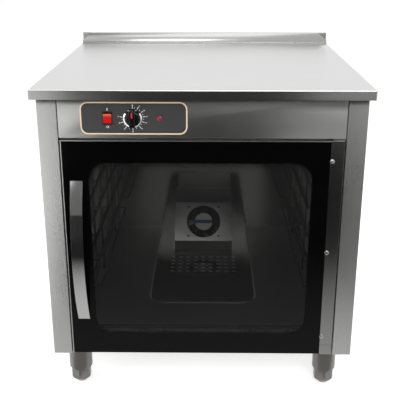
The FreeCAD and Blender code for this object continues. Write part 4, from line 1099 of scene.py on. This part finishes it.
# %% Rocker
ROCKER_PIN = Vector((ROCKER_X, -392.0 * MM, CONTROL_Z))
ROCKER_HALF_X, ROCKER_HALF_Z = 10.5 * MM, 13.7 * MM
ROCKER_FRONT, ROCKER_REAR = 4.5 * MM, 2.8 * MM
ROCKER_TILT = math.radians(12)
VALLEY_DEEP, REAR_SQUEEZE = 1.4 * MM, 0.42
# painted light: the rocker's red turns paler between these heights above the pin
PAINTED_LIGHT_FROM, PAINTED_LIGHT_TO = 3 * MM, 11 * MM


def red_with_painted_light():
    """Red with painted light: it turns a paler orange towards its upper end, where the light falls."""
    mat = moulded("red_rocker_painted_light", "c41410", 0.2, 1.5, 0.02, 0.08, 0.4)
    tree, colour = mat.node_tree, shader_of(mat).inputs["Base Color"]
    place = add(tree, "ShaderNodeTexCoord").outputs["Object"]
    split = add(tree, "ShaderNodeSeparateXYZ", None, {0: place})
    rise = add(tree, "ShaderNodeMapRange",
               {"interpolation_type": "SMOOTHSTEP", "From Min": CONTROL_Z + PAINTED_LIGHT_FROM,
                "From Max": CONTROL_Z + PAINTED_LIGHT_TO}, {"Value": split.outputs["Z"]})
    mix = add(tree, "ShaderNodeMix", {"data_type": "RGBA"},
              {0: rise.outputs[0], 6: colour.links[0].from_socket})
    # the painted light's paler orange at the upper end
    mix.inputs[7].default_value = linear("f0603c")
    tree.links.new(mix.outputs[2], colour)
    return mat


def red_rocker():
    piece = cube("red_rocker", (-ROCKER_HALF_X, -ROCKER_FRONT, -ROCKER_HALF_Z),
                 (ROCKER_HALF_X, ROCKER_REAR, ROCKER_HALF_Z))
    edit(piece)
    cut_line(0)
    pick(piece, verts=lambda co: abs(co.z) < TOUCH and co.y < 0)
    bpy.ops.transform.translate(value=(0, VALLEY_DEEP, 0))
    pick(piece, verts=lambda co: co.y > TOUCH and abs(co.z) > MM)
    bpy.ops.transform.resize(value=(1, 1, REAR_SQUEEZE), center_override=(0, 0, 0))
    done(piece)
    soften(piece, 1.1 * MM, 4, 12)
    piece.rotation_euler = (ROCKER_TILT, 0, 0)
    piece.location = ROCKER_PIN
    hand_over(settle("red_rocker", piece), red_with_painted_light(), "power_switch", ["rocker"])


red_rocker()

# %% [markdown]
# ## The dial
# The dial is a black moulded skirt, a tapered drum with a raised grip bar, a chrome trim
# ring and a red pointer. The skirt and drum are one cylinder whose front face is inset and
# pulled out step by step, as on a lathe. The bar is a separate rounded block let into it.

# %% Skirt, drum and grip
KNOB_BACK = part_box("knob")[1].y
KNOB_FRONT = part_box("knob")[0].y
KNOB_R = 23.75 * MM
SKIRT_T = 3.0 * MM
# the inset and the pull of each lathe step, in mm
DIAL_STEPS = ((4.4, 0.0), (0.3, -3.0), (0.8, -7.0), (2.0, -0.8), (6.0, -0.2))
GRIP_HALF, GRIP_DOWN, GRIP_UP = 8.2 * MM, 20.5 * MM, 21.5 * MM
GRIP_REAR, GRIP_SHOULDER = KNOB_BACK - 2.2 * MM, KNOB_FRONT + 8.5 * MM
GRIP_NARROW = (0.90, 1, 0.93)
RING_CONE = 0.82
POINTER_HALF, POINTER_FROM, POINTER_TO = 1.9 * MM, 5.5 * MM, 18.5 * MM
RING_R, RING_BORE, RING_T = 23.7 * MM, 20.4 * MM, 2.8 * MM


def lathe(piece, steps):
    """Shapes the front face of a drum that lies along Y, by steps in mm."""
    return turn_steps(piece, to_front, [(inset * MM, (0, pull * MM, 0)) for inset, pull in steps])


def about_dial(y):
    return (KNOB_X, y, CONTROL_Z)


def dial_body():
    body = lathe(drum("dial_body", about_dial(KNOB_BACK - SKIRT_T / 2), KNOB_R, SKIRT_T, "Y", 72),
                 DIAL_STEPS)
    soften(body, 0.5 * MM, 2, 25)
    bar = slab("grip_bar", (KNOB_X - GRIP_HALF, KNOB_X + GRIP_HALF), (KNOB_FRONT, GRIP_REAR),
               (CONTROL_Z - GRIP_DOWN, CONTROL_Z + GRIP_UP), 2.4 * MM, 6)
    edit(bar)
    pick(bar, verts=lambda co: co.y < GRIP_SHOULDER)
    bpy.ops.transform.resize(value=GRIP_NARROW, center_override=about_dial(KNOB_FRONT))
    done(bar)
    soften(bar, 1.3 * MM, 3, 40)
    hand_over(join("dial_body", [body, bar]), black_gloss, "dial", ["knob"])


def dial_trim():
    """A thin chrome ring pressed over the skirt, and the red pointer in the bar."""
    ring = drum("dial_trim", about_dial(KNOB_BACK - 4.3 * MM), RING_R, RING_T, "Y", 72)
    edit(ring)
    pick(ring, faces=to_front)
    bpy.ops.transform.resize(value=(RING_CONE, 1, RING_CONE), center_override=about_dial(0))
    done(ring)
    subtract(ring, drum("inner", about_dial(KNOB_BACK - 3.6 * MM), RING_BORE, 12 * MM, "Y", 72))
    soften(ring, 0.3 * MM, 2, 30)
    hand_over(ring, chrome, "dial")
    line = slab("dial_pointer", (KNOB_X - POINTER_HALF, KNOB_X + POINTER_HALF),
                (KNOB_FRONT - 0.3 * MM, KNOB_FRONT + 0.9 * MM),
                (CONTROL_Z + POINTER_FROM, CONTROL_Z + POINTER_TO), 0.8 * MM, 4)
    soften(line, 0.25 * MM, 2, 40)
    hand_over(line, red_paint, "dial")


dial_body()
dial_trim()

# %% [markdown]
# ## The pilot lamp
# The lamp's lens is a small dark red dome with fine rings moulded inside. The dome is a
# short drum that is inset and pulled out, and a black collar holds it to the plate.

# %% Lens and collar
LENS_R, COLLAR_R, COLLAR_BORE = 6.2 * MM, 6.4 * MM, 5.7 * MM
LENS_STEPS = ((0.3, -0.6), (1.0, -0.8), (1.6, -0.4), (1.2, 0.15), (0.5, -0.2))


def lamp_drum(name, y, radius, depth):
    return drum(name, (LAMP_X, y, CONTROL_Z), radius, depth, "Y", 40)


def pilot_lamp():
    lens = lathe(lamp_drum("pilot_lens", PLATE_FACE - 0.6 * MM, LENS_R, 1.2 * MM), LENS_STEPS)
    soften(lens, 0.15 * MM, 2, 25)
    hand_over(lens, lamp_pc, "cabinet", ["lamp_lens"])
    collar = lamp_drum("pilot_collar", PLATE_FACE - 0.7 * MM, COLLAR_R, 1.4 * MM)
    subtract(collar, lamp_drum("inner", PLATE_FACE - 0.7 * MM, COLLAR_BORE, 4 * MM))
    soften(collar, 0.4 * MM, 3, 50)
    hand_over(collar, black_abs, "cabinet")


pilot_lamp()

# %% [markdown]
# ## The body's folded panels
# Each side is one sheet: the outer wall turns in front to make the column beside the door,
# and turns once more to face the door's edge. The fascia is a shallow channel. Both are
# folded from a strip, so their bends are round and catch a thin line of light.

# %% Side panels and fascia
COLUMN_RETURN = 40 * MM
SEAM = 2 * MM


def side_panel(node, outer, inner):
    low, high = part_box(node)
    points = [(outer, high.y), (outer, low.y), (inner, low.y), (inner, low.y + COLUMN_RETURN)]
    panel = fold(node + "_sheet", points, low.z, high.z, bend=4.5 * MM)
    hand_over(panel, steel_upright, "cabinet", [node])


def fascia():
    low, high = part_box("control_fascia")
    points = [(high.y, low.z), (low.y, low.z), (low.y, high.z), (high.y, high.z)]
    sheet = fold("fascia_sheet", points, low.x + SEAM, high.x - SEAM, along="X", bend=3.6 * MM)
    subtract(sheet, *control_holes(low.y, low.y + 3 * MM))
    hand_over(sheet, steel_fascia, "cabinet", ["control_fascia"])


left_box, right_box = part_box("side_panel_left"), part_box("side_panel_right")
side_panel("side_panel_left", left_box[0].x, left_box[1].x)
side_panel("side_panel_right", right_box[1].x, right_box[0].x)
fascia()

# %% [markdown]
# ## The worktop
# The top is a shallow tray turned over: its edges are folded down and its corners welded
# and ground round. It is made like the pan, and a hem and a rear fold are joined to it.

# %% Worktop
TOP_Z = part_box("upstand_strip")[0].z
HEM_UP, HEM_IN, HEM_GAP = 8 * MM, 42 * MM, 2 * MM


def worktop():
    low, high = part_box("worktop")
    top = pressed_skin("worktop_sheet", low, (high.x, high.y, TOP_Z), (3.5 * MM, 5), (2.2 * MM, 4))
    smooth(top)
    front = low.y + SHEET
    hem = fold("front_hem", [(front, low.z + HEM_UP), (front, low.z), (low.y + HEM_IN, low.z)],
               low.x + HEM_GAP, high.x - HEM_GAP, along="X")
    rear = cube("rear_fold", (low.x, high.y - SHEET, low.z), high)
    soften(rear, 0.4 * MM, 2, 40)
    whole = join("worktop_sheet", [top, hem, rear])
    # painted shade: the faces looking forward take the darker edge steel
    coat_faces(whole, (steel_top, steel_edge), lambda f: int(f.normal.y < -0.8))
    hand_over(whole, None, "cabinet", ["worktop"])


worktop()

# %% [markdown]
# ## The upstand
# A strip along the back keeps flour off the wall. It is folded from one sheet with a level
# foot, an upright face and a level top, and its upper corners are cut off at a slant. The
# fold is made first and a plane then takes each corner away, as a grinder would.

# %% Upstand strip
UPSTAND_FOOT = 18 * MM
MITRE_X, MITRE_Z = 30 * MM, 25 * MM


def upstand():
    low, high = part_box("upstand_strip")
    face, foot = low.y + UPSTAND_FOOT, low.z + SHEET
    points = [(low.y, foot), (face, foot), (face, high.z), (high.y, high.z)]
    strip = fold("upstand_sheet", points, low.x, high.x, along="X", bend=2.4 * MM)
    edit(strip)
    for side in (-1, 1):
        bpy.ops.mesh.select_all(action="SELECT")
        bpy.ops.mesh.bisect(plane_co=(side * high.x, 0, high.z - MITRE_Z),
                            plane_no=(side * MITRE_Z, 0, MITRE_X), use_fill=True, clear_outer=True)
    done(strip)
    hand_over(strip, steel_level, "cabinet", ["upstand_strip"])


upstand()

# %% [markdown]
# ## Levelling feet
# Each leg is a turned cup with a foot that screws out of it. Both could be spun from a
# profile, but the lathe work is plain: a drum whose end face is inset, pushed and drawn
# together. Six flats, each cut with a turned block, let a spanner grip the foot.

# %% Turn the legs
SLEEVE_TALL = 66 * MM
SLEEVE_SOLID = 8 * MM
FOOT_R, FOOT_PLAY = 28.5 * MM, 0.2 * MM
FLAT_TOP, FLAT_DEEP = 43 * MM, 2.6 * MM
TAPER, TAPER_TO = 15 * MM, 0.47
BLOCK_HALF, BLOCK_OUT = 20 * MM, 9 * MM
STUD_R, STUD_TALL, NUT_R, NUT_TALL = 5 * MM, 14 * MM, 8.5 * MM, 8 * MM


def leg_base(node):
    """A turned leg part's box, middle and radius."""
    low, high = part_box(node)
    return low, high, middle(node), (high.x - low.x) / 2


def turned_foot(corner):
    node = "leg_foot_" + corner
    low, high, mid, radius = leg_base(node)
    neck = low.z + TAPER
    foot = drum("foot_" + corner, (mid.x, mid.y, (neck + high.z) / 2), radius, high.z - neck, sides=48)
    edit(foot)
    pick(foot, faces=to_ground)
    bpy.ops.mesh.extrude_region_move(TRANSFORM_OT_translate={"value": (0, 0, -TAPER)})
    bpy.ops.transform.resize(value=(TAPER_TO, TAPER_TO, 1.0), center_override=(mid.x, mid.y, low.z))
    cut_line(FLAT_TOP)
    done(foot)
    for turn in range(6):
        block = cube("block", (radius - FLAT_DEEP, -BLOCK_HALF, low.z + 2 * MM),
                     (radius + BLOCK_OUT, BLOCK_HALF, FLAT_TOP))
        block.rotation_euler = (0, 0, math.radians(60 * turn))
        block.location = (mid.x, mid.y, 0)
        subtract(foot, settle("block", block))
    soften(foot, 0.6 * MM, 2, 25)
    hand_over(foot, steel_foot, "foot_" + corner, [node])


def turned_sleeve(corner):
    node = "leg_sleeve_" + corner
    low, high, mid, radius = leg_base(node)
    top = low.z + SLEEVE_TALL
    cup = drum("sleeve_" + corner, (mid.x, mid.y, (low.z + top) / 2), radius, SLEEVE_TALL)
    edit(cup)
    pick(cup, faces=to_ground)
    bpy.ops.mesh.inset(thickness=radius - FOOT_R - FOOT_PLAY)
    bpy.ops.mesh.extrude_region_move(TRANSFORM_OT_translate={"value": (0, 0, 0)})
    bpy.ops.transform.translate(value=(0, 0, SLEEVE_TALL - SLEEVE_SOLID))
    done(cup)
    soften(cup, 0.9 * MM, 3, 40)
    stud = drum("stud", (mid.x, mid.y, top - MM + STUD_TALL / 2), STUD_R, STUD_TALL, sides=24)
    nut = drum("nut", (mid.x, mid.y, top + SHEET + NUT_TALL / 2), NUT_R, NUT_TALL, sides=6)
    for part in (stud, nut):
        soften(part, 0.5 * MM, 2, 40)
    hand_over(join(cup.name, [cup, stud, nut]), steel_foot, "cabinet", [node])


for corner in CORNERS:
    turned_foot(corner)
    turned_sleeve(corner)

# %% [markdown]
# ## Small parts on the back and the top
# The upstand's screws are the same low domes as on the door, facing up. The gland is a
# hexagon flange with a domed cap: two drums would do, but the cap's edge needs a step
# and a round, and the bore must show, so it is cut through all its parts.

# %% Screws and gland
GLAND_BORE = 4 * MM


def upstand_screws():
    low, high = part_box("upstand_screws")
    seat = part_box("upstand_strip")[0].z + SHEET
    y, radius = (low.y + high.y) / 2, (high.y - low.y) / 2
    heads = [dome_screw("upstand_screw", (x, y, seat), radius, high.z - seat, "+Z")
             for x in (low.x + radius, high.x - radius)]
    hand_over(join("upstand_screw_heads", heads), steel_plated, "cabinet", ["upstand_screws"])


def gland():
    low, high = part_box("cable_gland")
    mid = middle("cable_gland")
    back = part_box("side_panel_left")[1].y

    def ring(name, near, far, radius, sides):
        return drum(name, (mid.x, (near + far) / 2, mid.z), radius, far - near, "Y", sides)
    flange = ring("gland", back, back + 5 * MM, 11 * MM, 6)
    cap = turn_steps(ring("cap", back + 4 * MM, high.y, 9.6 * MM, 40), to_back,
                     [(2.5 * MM, (0, -1.5 * MM, 0))])
    thread = ring("thread", low.y, back + MM, 8 * MM, 40)
    nut = ring("nut", low.y + 3.8 * MM, back - SHEET, 11.5 * MM, 6)
    whole = [flange, cap, thread, nut]
    for part in whole:
        subtract(part, ring("bore", low.y - 2 * MM, high.y + 2 * MM, GLAND_BORE, 32))
        soften(part, 0.5 * MM, 2, 40)
    hand_over(join("cable_gland_fitting", whole), black_abs, "cabinet", ["cable_gland"])


upstand_screws()
gland()

# %% [markdown]
# ## Floor
# The floor is a pale matte sheet that catches the object's shadow. A share of it glows, but
# only for the camera and for mirrors, so it is white to look at and lights nothing.

# %% Floor
FLOOR_SIZE = 30.0
FLOOR_GLOW = 0.56


def floor():
    bpy.ops.object.select_all(action="DESELECT")
    bpy.ops.mesh.primitive_plane_add(size=FLOOR_SIZE, location=(0, 0, 0))
    sheet = bpy.context.object
    sheet.name = "floor"
    mat = bpy.data.materials.new("studio_floor")
    tree = blank(mat)
    matte = add(tree, "ShaderNodeBsdfDiffuse", {"Color": linear("f2f2f2")})
    lift = add(tree, "ShaderNodeMath", {"operation": "MULTIPLY", 1: FLOOR_GLOW}, {0: seen_rays(tree)})
    glow = add(tree, "ShaderNodeEmission", {"Color": (1, 1, 1, 1)}, {"Strength": lift.outputs[0]})
    both = add(tree, "ShaderNodeAddShader", None, {0: matte.outputs[0], 1: glow.outputs[0]})
    add(tree, "ShaderNodeOutputMaterial", None, {"Surface": both.outputs[0]})
    sheet.data.materials.append(mat)
    print("floor", FLOOR_SIZE, "m wide")


floor()
